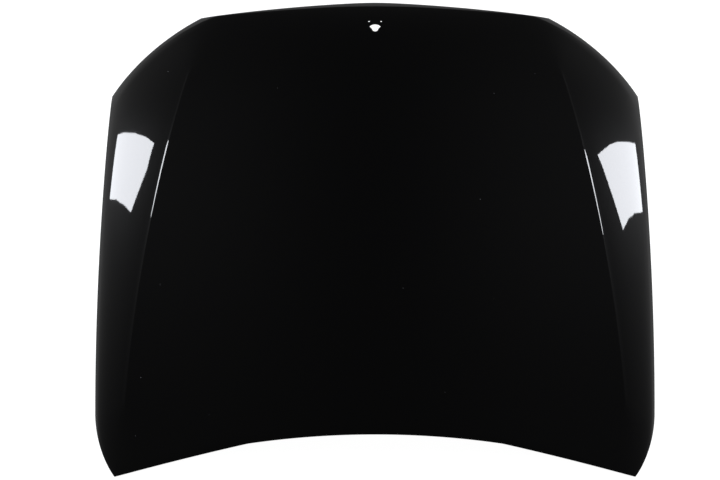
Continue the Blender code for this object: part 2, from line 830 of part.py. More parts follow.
def bored_plate(name, outline_points, low, high, holes, diameter, sides, finish, place):
    """Flat plate with round holes."""
    bm = bmesh.new()
    prism(bm, outline_points, low, high)
    cut(solid(name, bm, finish, place), hole_cutter(name, low, high, holes, diameter, sides, place))


def make_channel(name, size, thickness, flange, holes, diameter, finish, place):
    """Pressed channel: a flat base with its two long edges turned up."""
    half = size[0] / 2
    low = GAP
    profile = [(-half, low), (half, low), (half, low + flange), (half - thickness, low + flange),
               (half - thickness, low + thickness), (thickness - half, low + thickness),
               (thickness - half, low + flange), (-half, low + flange)]
    bm = bmesh.new()
    end = bm.faces.new(add_ring(bm, [Vector((x, -size[1] / 2, z)) for x, z in profile]))
    drawn = bmesh.ops.extrude_face_region(bm, geom=[end])
    verts = [item for item in drawn["geom"] if isinstance(item, bmesh.types.BMVert)]
    bmesh.ops.translate(bm, vec=(0, size[1], 0), verts=verts)
    cut(solid(name, bm, finish, place),
        hole_cutter(name, low, low + thickness, holes, diameter, HIDDEN_SIDES, place))


def make_nut(name, size, bore, height, finish, place):
    """Hexagonal weld nut standing at a height on its plate."""
    across, tall = size
    bm = bmesh.new()
    inner = [hexagon(bore, height + tall, 6), hexagon(bore, height, 6)]
    outer = [hexagon(across, height, 6), hexagon(across, height + tall, 6)]
    stack(bm, outer + inner, hollow=True)
    solid(name, bm, finish, place)


def make_hinge_seat(pad, steel):
    """Reinforcement and two weld nuts above a hinge pad."""
    side = side_name(pad.side)
    holes = [(0, -HINGE_BOLT_PITCH / 2), (0, HINGE_BOLT_PITCH / 2)]
    make_channel("hinge_reinforcement_" + side, HINGE_PLATE, HINGE_PLATE_THICKNESS,
                 HINGE_PLATE_FLANGE, holes, HINGE_BOLT_HOLE, steel, pad.place)
    height = 2 * GAP + HINGE_PLATE_THICKNESS
    for label, centre in zip(("rear", "front"), holes):
        place = pad.place @ Matrix.Translation((*centre, 0))
        make_nut("hinge_nut_" + side + "_" + label, HINGE_NUT, HINGE_BOLT_HOLE - 4 * GAP,
                 height, steel, place)


def make_bolt(name, low, top, finish, place):
    """Flanged hexagon bolt, its head below and its shank up to top."""
    across, head = STRIKER_HEAD
    flange, flange_height = STRIKER_HEAD_FLANGE
    bm = bmesh.new()
    stack(bm, [hexagon(across, low - flange_height - head),
               hexagon(across, low - flange_height),
               circle(flange / 2, ROUND_SIDES, low - flange_height),
               circle(flange / 2, ROUND_SIDES, low),
               circle(STRIKER_BOLT / 2, ROUND_SIDES, low),
               circle(STRIKER_BOLT / 2, ROUND_SIDES, top)])
    solid(name, bm, finish, place)


def make_loop(name, top, finish, place):
    """Striker loop: a bent wire whose two legs hang from the plate."""
    half = (LOOP_WIDTH - LOOP_WIRE) / 2
    bottom = top - LOOP_HEIGHT + LOOP_WIRE / 2
    points = [(-half, 0, top)]
    for side, start in ((-1, math.pi), (1, 1.5 * math.pi)):
        for step in range(LOOP_BEND_STEPS + 1):
            angle = start + math.pi / 2 * step / LOOP_BEND_STEPS
            points.append((side * (half - LOOP_BEND) + LOOP_BEND * math.cos(angle), 0,
                           bottom + LOOP_BEND + LOOP_BEND * math.sin(angle)))
    points.append((half, 0, top))
    curve = bpy.data.curves.new(name, "CURVE")
    curve.dimensions = "3D"
    curve.bevel_depth = LOOP_WIRE / 2
    curve.bevel_resolution = 2
    curve.use_fill_caps = True
    spline = curve.splines.new("POLY")
    spline.points.add(len(points) - 1)
    for point, place_at in zip(spline.points, points):
        point.co = (*place_at, 1)
    curve.materials.append(finish)
    loop = bpy.data.objects.new(name, curve)
    bpy.context.scene.collection.objects.link(loop)
    loop.matrix_world = place


def make_striker(pad, steel, zinc):
    """Striker plate, its loop and bolts below a pad, and what they bolt to above it."""
    side = side_name(pad.side)
    holes = [(-STRIKER_BOLT_PITCH / 2, 0), (STRIKER_BOLT_PITCH / 2, 0)]
    clear = STRIKER_BOLT + 4 * GAP
    high = -FRAME - GAP
    low = high - STRIKER_PLATE_THICKNESS
    bored_plate("striker_plate_" + side,
                rounded(STRIKER_PLATE[0] / 2, STRIKER_PLATE[1] / 2, STRIKER_PLATE_CORNER),
                low, high, holes, clear, ROUND_SIDES, zinc, pad.place)
    make_loop("striker_loop_" + side, low - GAP, zinc, pad.place)
    thick = STRIKER_REINFORCEMENT_THICKNESS
    bored_plate("latch_reinforcement_" + side,
                rounded(STRIKER_REINFORCEMENT[0] / 2, STRIKER_REINFORCEMENT[1] / 2,
                        STRIKER_REINFORCEMENT_CORNER),
                GAP, GAP + thick, holes, clear, HIDDEN_SIDES, steel, pad.place)
    nut_low = 2 * GAP + thick
    for label, centre in zip(("left", "right"), holes):
        place = pad.place @ Matrix.Translation((*centre, 0))
        make_nut("striker_nut_" + side + "_" + label, STRIKER_NUT, STRIKER_BOLT + 2 * GAP,
                 nut_low, steel, place)
        make_bolt("striker_bolt_" + side + "_" + label, low - GAP,
                  nut_low + STRIKER_NUT[1] + STRIKER_BOLT_END, zinc, place)


def make_buffer(pad, rubber):
    """Rubber buffer: head under the pad, neck in its hole, barb above."""
    head, head_height = BUFFER_HEAD
    head_tip, tip_height = BUFFER_TIP
    barb, barb_height = BUFFER_BARB
    barb_tip, barb_tip_height = BUFFER_BARB_TIP
    neck = BUFFER_HOLE - 2 * GAP
    under = -FRAME - GAP
    high = GAP + barb_height
    profile = [(head_tip, under - head_height), (head, under - head_height + tip_height),
               (head, under), (neck, under), (neck, GAP), (barb, GAP),
               (barb, high - barb_tip_height), (barb_tip, high)]
    bm = bmesh.new()
    stack(bm, [circle(width / 2, ROUND_SIDES, z) for width, z in profile])
    solid("rubber_buffer_" + side_name(pad.side), bm, rubber, pad.place)


def make_mastic(region, column, row, finish):
    """Dab of mastic between a pocket's rear flange and the skin."""
    s = (COLUMN_LINES[column] + COLUMN_LINES[column + 1]) / 2
    w = ROW_LINES[row] + (RIB_HALF + POCKET_RUN + POCKET_FLANGE / 2) / region.length()
    middle = region.point(s, w)
    rings = []
    for depth in (SKIN + MASTIC_TOP_GAP, POCKET_DEPTH - MASTIC_FOOT_GAP):
        rings.append([face_point(middle.x + dx, middle.y + dy, depth)
                      for dx, dy in rounded(MASTIC[0] / 2, MASTIC[1] / 2, MASTIC[1] / 2, 1)])
    bm = bmesh.new()
    stack(bm, rings)
    solid(f"mastic_dab_{row + 1}_{column}", bm, finish)


def main():
    clear_scene()
    paint = material("black_paint", (0.004, 0.004, 0.005), 0.08, 0.0, 1.0)
    frame_paint = material("frame_paint", (0.010, 0.010, 0.011), 0.35, 0.0)
    steel = material("coated_steel", (0.32, 0.33, 0.34), 0.45, 1.0)
    zinc = material("zinc_plate", (0.62, 0.60, 0.52), 0.35, 1.0)
    rubber = material("buffer_rubber", (0.012, 0.012, 0.012), 0.75, 0.0)
    mastic = material("mastic", (0.32, 0.30, 0.26), 0.80, 0.0)

    hinges = [Pad(side, HINGE_X, HINGE_Y, HINGE_PAD, HINGE_PAD_DROP) for side in (-1, 1)]
    strikers = [Pad(side, STRIKER_X, STRIKER_Y, STRIKER_PAD, level=True) for side in (-1, 1)]
    buffers = [Pad(side, BUFFER_X, BUFFER_Y, BUFFER_PAD, level=True) for side in (-1, 1)]

    skin = make_skin(paint)
    cut(skin, make_badge_cutter())
    frame = make_frame(frame_paint, hinges + strikers + buffers)
    cut(frame, make_frame_cutter(hinges, strikers, buffers))
    for pad in hinges:
        make_hinge_seat(pad, steel)
    for pad in strikers:
        make_striker(pad, steel, zinc)
    for pad in buffers:
        make_buffer(pad, rubber)
    region = Region(BLOCK_INSET)
    for row in MASTIC_ROWS:
        for column in MASTIC_COLUMNS:
            make_mastic(region, column, row, mastic)


main()
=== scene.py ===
# %% [markdown]
# # A gloss black car bonnet, without its badge
#
# A bonnet is two pressed sheets. The outer skin is what one sees: a shallow dome with a crease
# on each side, folded round at its edge. The inner frame is glued and clamped into that fold,
# and stiffens the skin with ribs. This lesson rebuilds both sheets finely enough for a gloss
# paint, then adds what is bolted to them, and lights the bonnet as in a studio.
#
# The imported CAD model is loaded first. Everything else is placed in its frame, in metres.

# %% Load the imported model
import math

import bmesh
import bpy
from mathutils import Matrix, Vector


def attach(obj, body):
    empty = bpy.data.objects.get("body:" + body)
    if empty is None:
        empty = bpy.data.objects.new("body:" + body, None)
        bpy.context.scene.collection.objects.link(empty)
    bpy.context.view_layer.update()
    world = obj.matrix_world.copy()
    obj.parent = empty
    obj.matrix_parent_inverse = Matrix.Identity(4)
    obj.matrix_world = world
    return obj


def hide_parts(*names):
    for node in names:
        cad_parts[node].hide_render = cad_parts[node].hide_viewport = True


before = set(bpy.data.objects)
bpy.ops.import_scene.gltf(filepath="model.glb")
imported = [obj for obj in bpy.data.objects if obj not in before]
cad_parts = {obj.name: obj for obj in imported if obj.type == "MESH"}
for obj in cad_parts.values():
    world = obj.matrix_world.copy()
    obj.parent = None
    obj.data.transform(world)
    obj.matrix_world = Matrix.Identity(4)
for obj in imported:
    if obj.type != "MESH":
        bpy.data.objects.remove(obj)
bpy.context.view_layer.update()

# %% [markdown]
# ## The camera
#
# The bonnet was photographed from straight above, from about four metres. A long lens at that
# distance keeps the outline nearly free of perspective. The focal length is worked out in
# pixels, since the picture's scale is known in pixels, and then turned into millimetres.

# %% The camera
IMAGE_WIDTH = 720
FOCAL_PIXELS = 1565.2
SENSOR = 36.0
CAMERA_PLACE = -0.040, 0.0, 4.2

lens = bpy.data.cameras.new("camera")
lens.sensor_width = SENSOR
lens.lens = FOCAL_PIXELS * SENSOR / IMAGE_WIDTH
camera = bpy.data.objects.new("camera", lens)
camera.location = CAMERA_PLACE
bpy.context.scene.collection.objects.link(camera)
bpy.context.scene.camera = camera
print("lens", round(lens.lens, 1), "mm")

# %% [markdown]
# ## The outline from above
#
# A bonnet's outline is a chain of slack curves: a blunt V at the nose, a cut for each
# headlight, a side that is nearly straight, a round rear corner and a rear edge with two kinks.
# Each is one short function. The curves are the ones the CAD model uses, so the fine sheets
# made here fall on top of it.

# %% The outline from above
HALF_WIDTH = 0.7505
WIDEST_Y = -0.470
SIDE_TAPER = 0.021
SIDE_RADIUS = 12.5
SHOULDER_Y = 0.3835
NOSE_Y = 0.6366
NOSE_POINT_SLOPE = 0.0522
NOSE_POINT_BLEND = 0.050
FRONT_EDGE_RADIUS = 4.96
FRONT_CORNER_X = 0.4645
CUT_BULGE = 0.017
REAR_CORNER_RADIUS = 0.290
REAR_Y = -0.5114
REAR_RADIUS = 2.13
KINK_X = 0.337
KINK_SLOPE = 0.240
REAR_OUTER_RADIUS = 6.1
TIP_ROUNDS = 40


def front_y(x):
    point = math.hypot(x, NOSE_POINT_BLEND) - NOSE_POINT_BLEND
    return NOSE_Y - NOSE_POINT_SLOPE * point - x * x / (2 * FRONT_EDGE_RADIUS)


def rear_y(x):
    inner = min(abs(x), KINK_X)
    outer = max(0.0, abs(x) - KINK_X)
    y = REAR_Y - inner * inner / (2 * REAR_RADIUS)
    return y - KINK_SLOPE * outer - outer * outer / (2 * REAR_OUTER_RADIUS)


def side_x(y):
    along = y - WIDEST_Y
    return HALF_WIDTH - SIDE_TAPER * along - along * along / (2 * SIDE_RADIUS)


def corner_x(y):
    fall = min(WIDEST_Y - y, REAR_CORNER_RADIUS)
    return HALF_WIDTH - REAR_CORNER_RADIUS + math.sqrt(REAR_CORNER_RADIUS ** 2 - fall ** 2)


TIP_X = HALF_WIDTH
for _ in range(TIP_ROUNDS):
    TIP_X = corner_x(rear_y(TIP_X))
TIP_Y = rear_y(TIP_X)
SHOULDER = Vector((side_x(SHOULDER_Y), SHOULDER_Y))
FRONT_CORNER = Vector((FRONT_CORNER_X, front_y(FRONT_CORNER_X)))
CUT_CHORD = FRONT_CORNER - SHOULDER
CUT_OUTWARD = Vector((CUT_CHORD.y, -CUT_CHORD.x)).normalized()
CUT_RADIUS = CUT_CHORD.length_squared / (8 * CUT_BULGE) + CUT_BULGE / 2
CUT_CENTRE = (SHOULDER + FRONT_CORNER) / 2 - CUT_OUTWARD * (CUT_RADIUS - CUT_BULGE)


def half_width(y):
    if y < WIDEST_Y:
        return corner_x(y)
    if y <= SHOULDER_Y:
        return side_x(y)
    return CUT_CENTRE.x + math.sqrt(CUT_RADIUS ** 2 - (y - CUT_CENTRE.y) ** 2)


print("rear tip", round(TIP_X, 4), round(TIP_Y, 4), "front corner", FRONT_CORNER[:])

# %% [markdown]
# ## The crown
#
# On a gloss black panel one sees hardly any shading, only what it mirrors, so its height has to
# be smooth everywhere. One formula gives the height of any point: two big arcs for the dome, a
# power curve that drops the nose, a crease that bends the surface down towards the side, and a
# narrow roll at each edge. Just past the crease the press tool leaves a short steep flank, which
# is the fine bright line that runs beside it. The crease is a little sharper here and the front
# roll slighter than in the CAD model, so that the nose doesn't mirror the pale floor.

# %% The crown
DOME_RADIUS_ACROSS = 4.2
DOME_RADIUS_ALONG = 5.0
DOME_Y = -0.05
PITCH = 0.0600
NOSE_START_Y = 0.20
NOSE_DROP = 0.130
NOSE_POWER = 2.7
NOSE_DROP_FADE = 0.35
CREASE_X = 0.5985
CREASE_SLOPE = 0.20
CREASE_BEND = 0.11
CREASE_FILLET = 0.0012
CREASE_FADE_START = 0.42
CREASE_FADE_LENGTH = 0.16
CREASE_FADE_FILLET = 0.044
SHOULDER_SLOPE = 0.152
SHOULDER_BEND = 0.228
SHOULDER_TOP_SLOPE = 0.66
SHOULDER_HOLLOW = 0.0016
SIDE_ROLL = 0.05
SIDE_ROLL_POWER = 8
REAR_ROLL = (0.025, 0.003)
FRONT_ROLL = (0.030, 0.0005)
CUT_ROLL = (0.025, 0.004)
NORMAL_STEP = 0.0001


def crease_x(y):
    return CREASE_X - CREASE_SLOPE * y - CREASE_BEND * y * y


def cut_distance(x, y):
    along = (Vector((x, y)) - SHOULDER).dot(CUT_CHORD) / CUT_CHORD.length_squared
    along = min(1.0, max(0.0, along))
    bulge = CUT_BULGE * (1 - (2 * along - 1) ** 2)
    return CUT_OUTWARD.dot(FRONT_CORNER - Vector((x, y))) + bulge


def roll(distance, width_and_drop):
    width, drop = width_and_drop
    return drop * max(0.0, 1 - distance / width) ** 2


def crown(x, y):
    x = abs(x)
    z = PITCH * (y - NOSE_Y) - (y - DOME_Y) ** 2 / (2 * DOME_RADIUS_ALONG)
    z -= x * x / (2 * DOME_RADIUS_ACROSS)
    nose = max(0.0, y - NOSE_START_Y) / (NOSE_Y - NOSE_START_Y)
    z -= NOSE_DROP * nose ** NOSE_POWER * (1 - NOSE_DROP_FADE * (x / HALF_WIDTH) ** 2)
    fade = min(1.0, max(0.0, (abs(y) - CREASE_FADE_START) / CREASE_FADE_LENGTH))
    fillet = CREASE_FILLET + (CREASE_FADE_FILLET - CREASE_FILLET) * fade * fade * (3 - 2 * fade)
    past = x - crease_x(y)
    past = (past + math.hypot(past, fillet)) / 2
    shoulder = side_x(y) - crease_x(y)
    z -= SHOULDER_SLOPE * past + SHOULDER_BEND * past * past / (2 * shoulder)
    z -= SIDE_ROLL * shoulder * (past / shoulder) ** SIDE_ROLL_POWER
    z -= ((SHOULDER_TOP_SLOPE - SHOULDER_SLOPE) * SHOULDER_HOLLOW
          * (1 - math.exp(-past / SHOULDER_HOLLOW)))
    z -= roll(y - rear_y(x), REAR_ROLL)
    z -= roll(front_y(x) - y, FRONT_ROLL)
    return z - roll(cut_distance(x, y), CUT_ROLL)


def face_normal(x, y, step=NORMAL_STEP):
    slope_x = (crown(x + step, y) - crown(x - step, y)) / (2 * step)
    slope_y = (crown(x, y + step) - crown(x, y - step)) / (2 * step)
    return Vector((-slope_x, -slope_y, 1)).normalized()


print("dome above the nose", round(crown(0, 0) - crown(0, NOSE_Y), 4), "m")

# %% [markdown]
# ## A grid that follows the creases
#
# The skin starts as a flat grid that is pulled into the outline. Its columns run from nose to
# rear and crowd together at the crease, its rows run across. The stations are the points where
# those lines meet the outline. They go round the bonnet once, beginning at the left rear tip.

# %% A grid that follows the creases
SPANS = 60, 16, 12, 12
CREASE_MARGIN = 0.085
CREASE_BAND = 0.006
ROLL_START = 0.70
CORNER_ROWS = 26
SIDE_ROWS = 96
CUT_ROWS = 30
ROW_CROWDING = 1.25


def column_shares(y):
    """Shares of the half width at which the skin has its columns."""
    width = half_width(y)
    crease = min(crease_x(y), width - CREASE_MARGIN) / width
    band = CREASE_BAND / width
    stops = (0.0, crease - band, crease + band, crease + ROLL_START * (1 - crease), 1.0)
    shares = [0.0]
    for first, last, count in zip(stops, stops[1:], SPANS):
        shares += [first + (last - first) * i / count for i in range(1, count + 1)]
    return shares


def side_rows():
    """Rows from the rear tip to the front corner, closer together at both ends."""
    corner = [(i / CORNER_ROWS) ** ROW_CROWDING for i in range(CORNER_ROWS)]
    cut = [1 - (1 - i / CUT_ROWS) ** ROW_CROWDING for i in range(CUT_ROWS + 1)]
    rows = [TIP_Y + (WIDEST_Y - TIP_Y) * share for share in corner]
    rows += [WIDEST_Y + (SHOULDER_Y - WIDEST_Y) * i / SIDE_ROWS for i in range(SIDE_ROWS)]
    return rows + [SHOULDER_Y + (FRONT_CORNER.y - SHOULDER_Y) * share for share in cut]


ROWS = side_rows()
ROW_COUNT = len(ROWS) - 1
HALF_COLUMNS = sum(SPANS)
COLUMNS = 2 * HALF_COLUMNS
rear_shares = column_shares(TIP_Y)
front_shares = column_shares(FRONT_CORNER.y)
OUTLINE = [Vector((-share * TIP_X, rear_y(share * TIP_X))) for share in rear_shares[:0:-1]]
OUTLINE += [Vector((share * TIP_X, rear_y(share * TIP_X))) for share in rear_shares]
OUTLINE += [Vector((half_width(y), y)) for y in ROWS[1:-1]]
OUTLINE += [Vector((share * FRONT_CORNER_X, front_y(share * FRONT_CORNER_X)))
            for share in front_shares[::-1]]
OUTLINE += [Vector((-share * FRONT_CORNER_X, front_y(share * FRONT_CORNER_X)))
            for share in front_shares[1:]]
OUTLINE += [Vector((-half_width(y), y)) for y in ROWS[-2:0:-1]]
STATIONS = len(OUTLINE)
print(STATIONS, "stations,", COLUMNS, "columns,", ROW_COUNT, "rows")

# %% [markdown]
# ## Distances in from the edge
#
# The hem, the frame's flange and its ribs all keep a set distance from the edge. Stepping each
# station inwards gives such a line. At a corner the step follows the mitre, and near one it
# leans gradually towards it, or else the lines would cross. A Region holds one of these lines
# and maps two simple numbers to the plan inside it: s runs from -1 to 1 across, w from 0 to 1
# forward.

# %% Distances in from the edge
CORNER_ANGLE = math.radians(12)
CORNER_EASE = 0.045
INSET_ROUNDS = 4


def side_normal(i, j):
    """Outward normal of the stretch of outline between neighbouring stations."""
    along = (OUTLINE[j % STATIONS] - OUTLINE[i % STATIONS]).normalized()
    return Vector((along.y, -along.x))


def mitre(i):
    first = side_normal(i - 1, i)
    second = side_normal(i, i + 1)
    return (first + second) / (1 + first.dot(second))


OUTWARD = [mitre(i) for i in range(STATIONS)]
CORNERS = [i for i in range(STATIONS)
           if side_normal(i - 1, i).angle(side_normal(i, i + 1)) > CORNER_ANGLE]
for corner in CORNERS:
    for step in (-1, 1):
        lean = mitre(corner) - side_normal(min(corner, corner + step), max(corner, corner + step))
        station, reach = corner, 0.0
        while reach < CORNER_EASE:
            ahead = (station + step) % STATIONS
            reach += (OUTLINE[ahead] - OUTLINE[station]).length
            station = ahead
            OUTWARD[station] = OUTWARD[station] + lean * max(0.0, 1 - reach / CORNER_EASE)
print("corners at stations", CORNERS)


def inset_plan(i, distance):
    """Plan point at a distance in from a station, measured on the face."""
    edge = OUTLINE[i]
    reach = distance
    for _ in range(INSET_ROUNDS):
        plan = edge - OUTWARD[i] * reach
        chord = math.hypot((plan - edge).length, crown(*plan) - crown(*edge))
        reach *= distance * OUTWARD[i].length / chord
    return edge - OUTWARD[i] * reach


def interpolate(x, xs, ys):
    low, high = 0, len(xs) - 1
    while high - low > 1:
        middle = (low + high) // 2
        low, high = (middle, high) if x > xs[middle] else (low, middle)
    return ys[low] + (x - xs[low]) / (xs[high] - xs[low]) * (ys[high] - ys[low])


class Region:
    def __init__(self, inset):
        self.ring = [inset_plan(i, inset) for i in range(STATIONS)]
        rear = self.ring[HALF_COLUMNS:COLUMNS + 1]
        side = self.ring[COLUMNS:COLUMNS + ROW_COUNT + 1]
        front = self.ring[COLUMNS + ROW_COUNT:COLUMNS + ROW_COUNT + HALF_COLUMNS + 1][::-1]
        self.rear = [p.x / rear[-1].x for p in rear], [p.y for p in rear]
        self.front = [p.x / front[-1].x for p in front], [p.y for p in front]
        self.side = [p.y for p in side], [p.x for p in side]
        self.start = side[0].y
        self.length = side[-1].y - side[0].y
        shoulder = side[CORNER_ROWS + SIDE_ROWS]
        self.shoulder_w = (shoulder.y - self.start) / self.length

    def width(self, w):
        return interpolate(self.start + w * self.length, *self.side)

    def point(self, s, w):
        rear = interpolate(abs(s), *self.rear)
        front = interpolate(abs(s), *self.front)
        return Vector((s * self.width(w), rear + (front - rear) * w))


EDGE_STRIP = 0.0125
strip_region = Region(EDGE_STRIP)
print("strip's own length", round(strip_region.length, 4), "m")

# %% [markdown]
# ## The hem
#
# The skin's edge is folded right round the frame's flange, which is called a hem. Its cross
# section is a half circle and a short flat, out on the outside and back on the inside of the
# sheet, so for each station I keep the list of points that the section passes through. The
# lowest of all these points stands on the floor, which fixes how high the whole crown sits.

# %% The hem
SKIN = 0.0010
FRAME = 0.0008
GAP = 0.0003
HEM_FLANGE = 0.009
FOLD_STEPS = 8
FOLD_RADIUS = (2 * SKIN + FRAME + 2 * GAP) / 2
FLANGE_DEPTH = SKIN + GAP


def hem_frame(i):
    """Edge point, strip's inner point, outward vector and normal at a station."""
    edge = Vector((*OUTLINE[i], crown(*OUTLINE[i])))
    plan = strip_region.ring[i]
    inner = Vector((*plan, crown(*plan)))
    out = (edge - inner).normalized()
    normal = face_normal(*((OUTLINE[i] + plan) / 2))
    normal = (normal - out * normal.dot(out)).normalized()
    return edge, inner, out * OUTWARD[i].length, normal


HEM = [hem_frame(i) for i in range(STATIONS)]


def hem_section(i):
    edge, inner, out, normal = HEM[i]
    centre = edge - out * FOLD_RADIUS - normal * FOLD_RADIUS
    turns = [math.pi * step / FOLD_STEPS for step in range(FOLD_STEPS + 1)]
    arc = [normal * math.cos(turn) + out * math.sin(turn) for turn in turns]
    outside = [centre + way * FOLD_RADIUS for way in arc]
    inside = [centre + way * (FOLD_RADIUS - SKIN) for way in arc[::-1]]
    return [*outside, outside[-1] - out * HEM_FLANGE, inside[0] - out * HEM_FLANGE, *inside,
            inner - normal * SKIN]


HEM_SECTIONS = [hem_section(i) for i in range(STATIONS)]
LIFT = -min(point.z for section in HEM_SECTIONS for point in section)
RISE = Vector((0, 0, LIFT))


def face_point(x, y, depth=0.0, step=NORMAL_STEP):
    """Point at a depth below the outer face, square to it. A long step evens the crease out."""
    return Vector((x, y, crown(x, y) + LIFT)) - face_normal(x, y, step) * depth


print("crown stands", round(crown(0, 0) + LIFT, 4), "m high in the middle")

# %% [markdown]
# ## Small helpers
#
# Three jobs come back for every piece: giving a bmesh to an object, carrying out its modifiers
# for good, and making its shading smooth but for the real edges. The sheets also need a wall,
# holes, and loops of edges that are extruded step by step.

# %% Small helpers
SHARP_ANGLE = math.radians(35)
TINY = 0.000001


def new_object(name, bm):
    """Gives a bmesh to a new object in the scene."""
    mesh = bpy.data.meshes.new(name)
    bm.to_mesh(mesh)
    bm.free()
    made = bpy.data.objects.new(name, mesh)
    bpy.context.scene.collection.objects.link(made)
    return made


def add_piece(name, bm, finish, slot, *stands_for):
    piece = new_object(name, bm)
    piece.data.materials.append(finish)
    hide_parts(*stands_for)
    return piece


def finish_piece(piece):
    """Carries out the modifiers, shades the mesh and puts the piece on its body."""
    depsgraph = bpy.context.evaluated_depsgraph_get()
    mesh = bpy.data.meshes.new_from_object(piece.evaluated_get(depsgraph))
    piece.modifiers.clear()
    piece.data = mesh
    mesh.shade_smooth()
    mesh.set_sharp_from_angle(angle=SHARP_ANGLE)
    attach(piece, "root")
    mesh.calc_loop_triangles()
    print(piece.name, len(mesh.loop_triangles), "triangles")


def add_wall(piece, thickness):
    wall = piece.modifiers.new("wall", "SOLIDIFY")
    wall.thickness = thickness
    wall.offset = -1.0
    wall.use_even_offset = True
    wall.use_quality_normals = True


def cut_with(piece, bm):
    """Cuts a closed bmesh out of a piece."""
    bmesh.ops.recalc_face_normals(bm, faces=bm.faces)
    cutter = new_object("cutter", bm)
    hole = piece.modifiers.new("hole", "BOOLEAN")
    hole.operation = "DIFFERENCE"
    hole.solver = "EXACT"
    hole.object = cutter
    depsgraph = bpy.context.evaluated_depsgraph_get()
    piece.data = bpy.data.meshes.new_from_object(piece.evaluated_get(depsgraph))
    piece.modifiers.clear()
    bpy.data.objects.remove(cutter)


def face_up(bm):
    """Turns an open sheet so that its faces look up."""
    bmesh.ops.recalc_face_normals(bm, faces=bm.faces)
    bm.normal_update()
    if sum(face.normal.z * face.calc_area() for face in bm.faces) < 0:
        bmesh.ops.reverse_faces(bm, faces=bm.faces)


def start_loop(bm, place, points):
    """A closed loop of edges through points, numbered in the place layer."""
    verts = bmesh.ops.create_circle(bm, segments=len(points), radius=1.0)["verts"]
    for i, vert in enumerate(verts):
        vert.co = points[i]
        vert[place] = i
    return [edge for edge in bm.edges if edge.is_wire]


def extrude_loop(bm, edges, place, goal):
    """Extrudes a loop of edges once and moves each new vertex to goal(its place number)."""
    made = bmesh.ops.extrude_edge_only(bm, edges=edges)["geom"]
    for item in made:
        if isinstance(item, bmesh.types.BMVert):
            item.co = goal(item[place])
    return [item for item in made if isinstance(item, bmesh.types.BMEdge) and item.is_boundary]


# %% [markdown]
# ## Node helpers
#
# The finishes, the floor and the room are small node trees. These helpers start a material and
# add the few kinds of node that the trees need. Noise on Object coordinates is how every piece
# here gets its unevenness.

# %% Node helpers
NOISE_LOW, NOISE_HIGH = 0.3, 0.7


def new_finish(name, colour, roughness, metallic=0.0):
    finish = bpy.data.materials.new(name)
    finish.use_nodes = True
    shader = finish.node_tree.nodes["Principled BSDF"]
    shader.inputs["Base Color"].default_value = (*colour, 1.0)
    shader.inputs["Roughness"].default_value = roughness
    shader.inputs["Metallic"].default_value = metallic
    return finish, finish.node_tree, shader


def object_place(tree):
    return tree.nodes.new("ShaderNodeTexCoord").outputs["Object"]


def add_noise(tree, scale, detail):
    """Noise on Object coordinates, with scale in waves per metre."""
    noise = tree.nodes.new("ShaderNodeTexNoise")
    noise.inputs["Scale"].default_value = scale
    noise.inputs["Detail"].default_value = detail
    tree.links.new(object_place(tree), noise.inputs["Vector"])
    return noise.outputs["Fac"]


def add_range(tree, source, low, high, to_low, to_high):
    """Maps a value from one range to another, held at both ends."""
    mapped = tree.nodes.new("ShaderNodeMapRange")
    for name, value in (("From Min", low), ("From Max", high), ("To Min", to_low),
                        ("To Max", to_high)):
        mapped.inputs[name].default_value = value
    tree.links.new(source, mapped.inputs["Value"])
    return mapped.outputs["Result"]


def add_smooth(tree, source, low, high, to_low, to_high):
    """The same with soft ends."""
    result = add_range(tree, source, low, high, to_low, to_high)
    result.node.interpolation_type = "SMOOTHSTEP"
    return result


def add_math(tree, operation, first, second):
    """Joins two values, each a number or another node's output."""
    node = tree.nodes.new("ShaderNodeMath")
    node.operation = operation
    for socket, value in zip(node.inputs, (first, second)):
        if isinstance(value, (int, float)):
            socket.default_value = value
        else:
            tree.links.new(value, socket)
    return node.outputs["Value"]


def add_bump(tree, height, depth, strength, socket):
    bump = tree.nodes.new("ShaderNodeBump")
    bump.inputs["Strength"].default_value = strength
    bump.inputs["Distance"].default_value = depth
    tree.links.new(height, bump.inputs["Height"])
    tree.links.new(bump.outputs["Normal"], socket)


def mix_colours(tree, factor, first, second):
    mix = tree.nodes.new("ShaderNodeMix")
    mix.data_type = "RGBA"
    mix.inputs["A"].default_value = (*first, 1.0)
    mix.inputs["B"].default_value = (*second, 1.0)
    tree.links.new(factor, mix.inputs["Factor"])
    return mix.outputs["Result"]


# %% [markdown]
# ## Black paint
#
# The skin's paint is a near-black colour under a clear coat. Sprayed clear coat is never quite
# flat: it has a faint orange peel, a wave of a few millimetres that softens what it mirrors.
# Used paint also has dust, a fine haze and a few tiny chips. The clear coat does the mirroring,
# so the colour coat below it gets hardly any shine of its own.

# %% Black paint
PAINT_BLACK = 0.0007, 0.0007, 0.0008
PAINT_ROUGHNESS = 0.35
PAINT_SHINE = 0.01
COAT_INDEX = 1.30
HAZE_NOISE = 9.0, 5.0
HAZE_RANGE = 0.35, 0.75
HAZE_ROUGHNESS = 0.016, 0.05
PEEL_NOISE = 260.0, 1.5
PEEL_DEPTH = 0.00002
PEEL_STRENGTH = 0.35
SPECK_SCALE = 55.0
SPECK_EDGE = 0.02, 0.06
SPECK_PICK = 0.975, 0.98
SPECK_GREY = 0.16, 0.16, 0.17

body_paint, tree, shader = new_finish("body_paint", PAINT_BLACK, PAINT_ROUGHNESS)
shader.inputs["Specular IOR Level"].default_value = PAINT_SHINE
shader.inputs["Coat Weight"].default_value = 1.0
shader.inputs["Coat IOR"].default_value = COAT_INDEX

haze = add_range(tree, add_noise(tree, *HAZE_NOISE), *HAZE_RANGE, *HAZE_ROUGHNESS)
tree.links.new(haze, shader.inputs["Coat Roughness"])
add_bump(tree, add_noise(tree, *PEEL_NOISE), PEEL_DEPTH, PEEL_STRENGTH,
         shader.inputs["Coat Normal"])

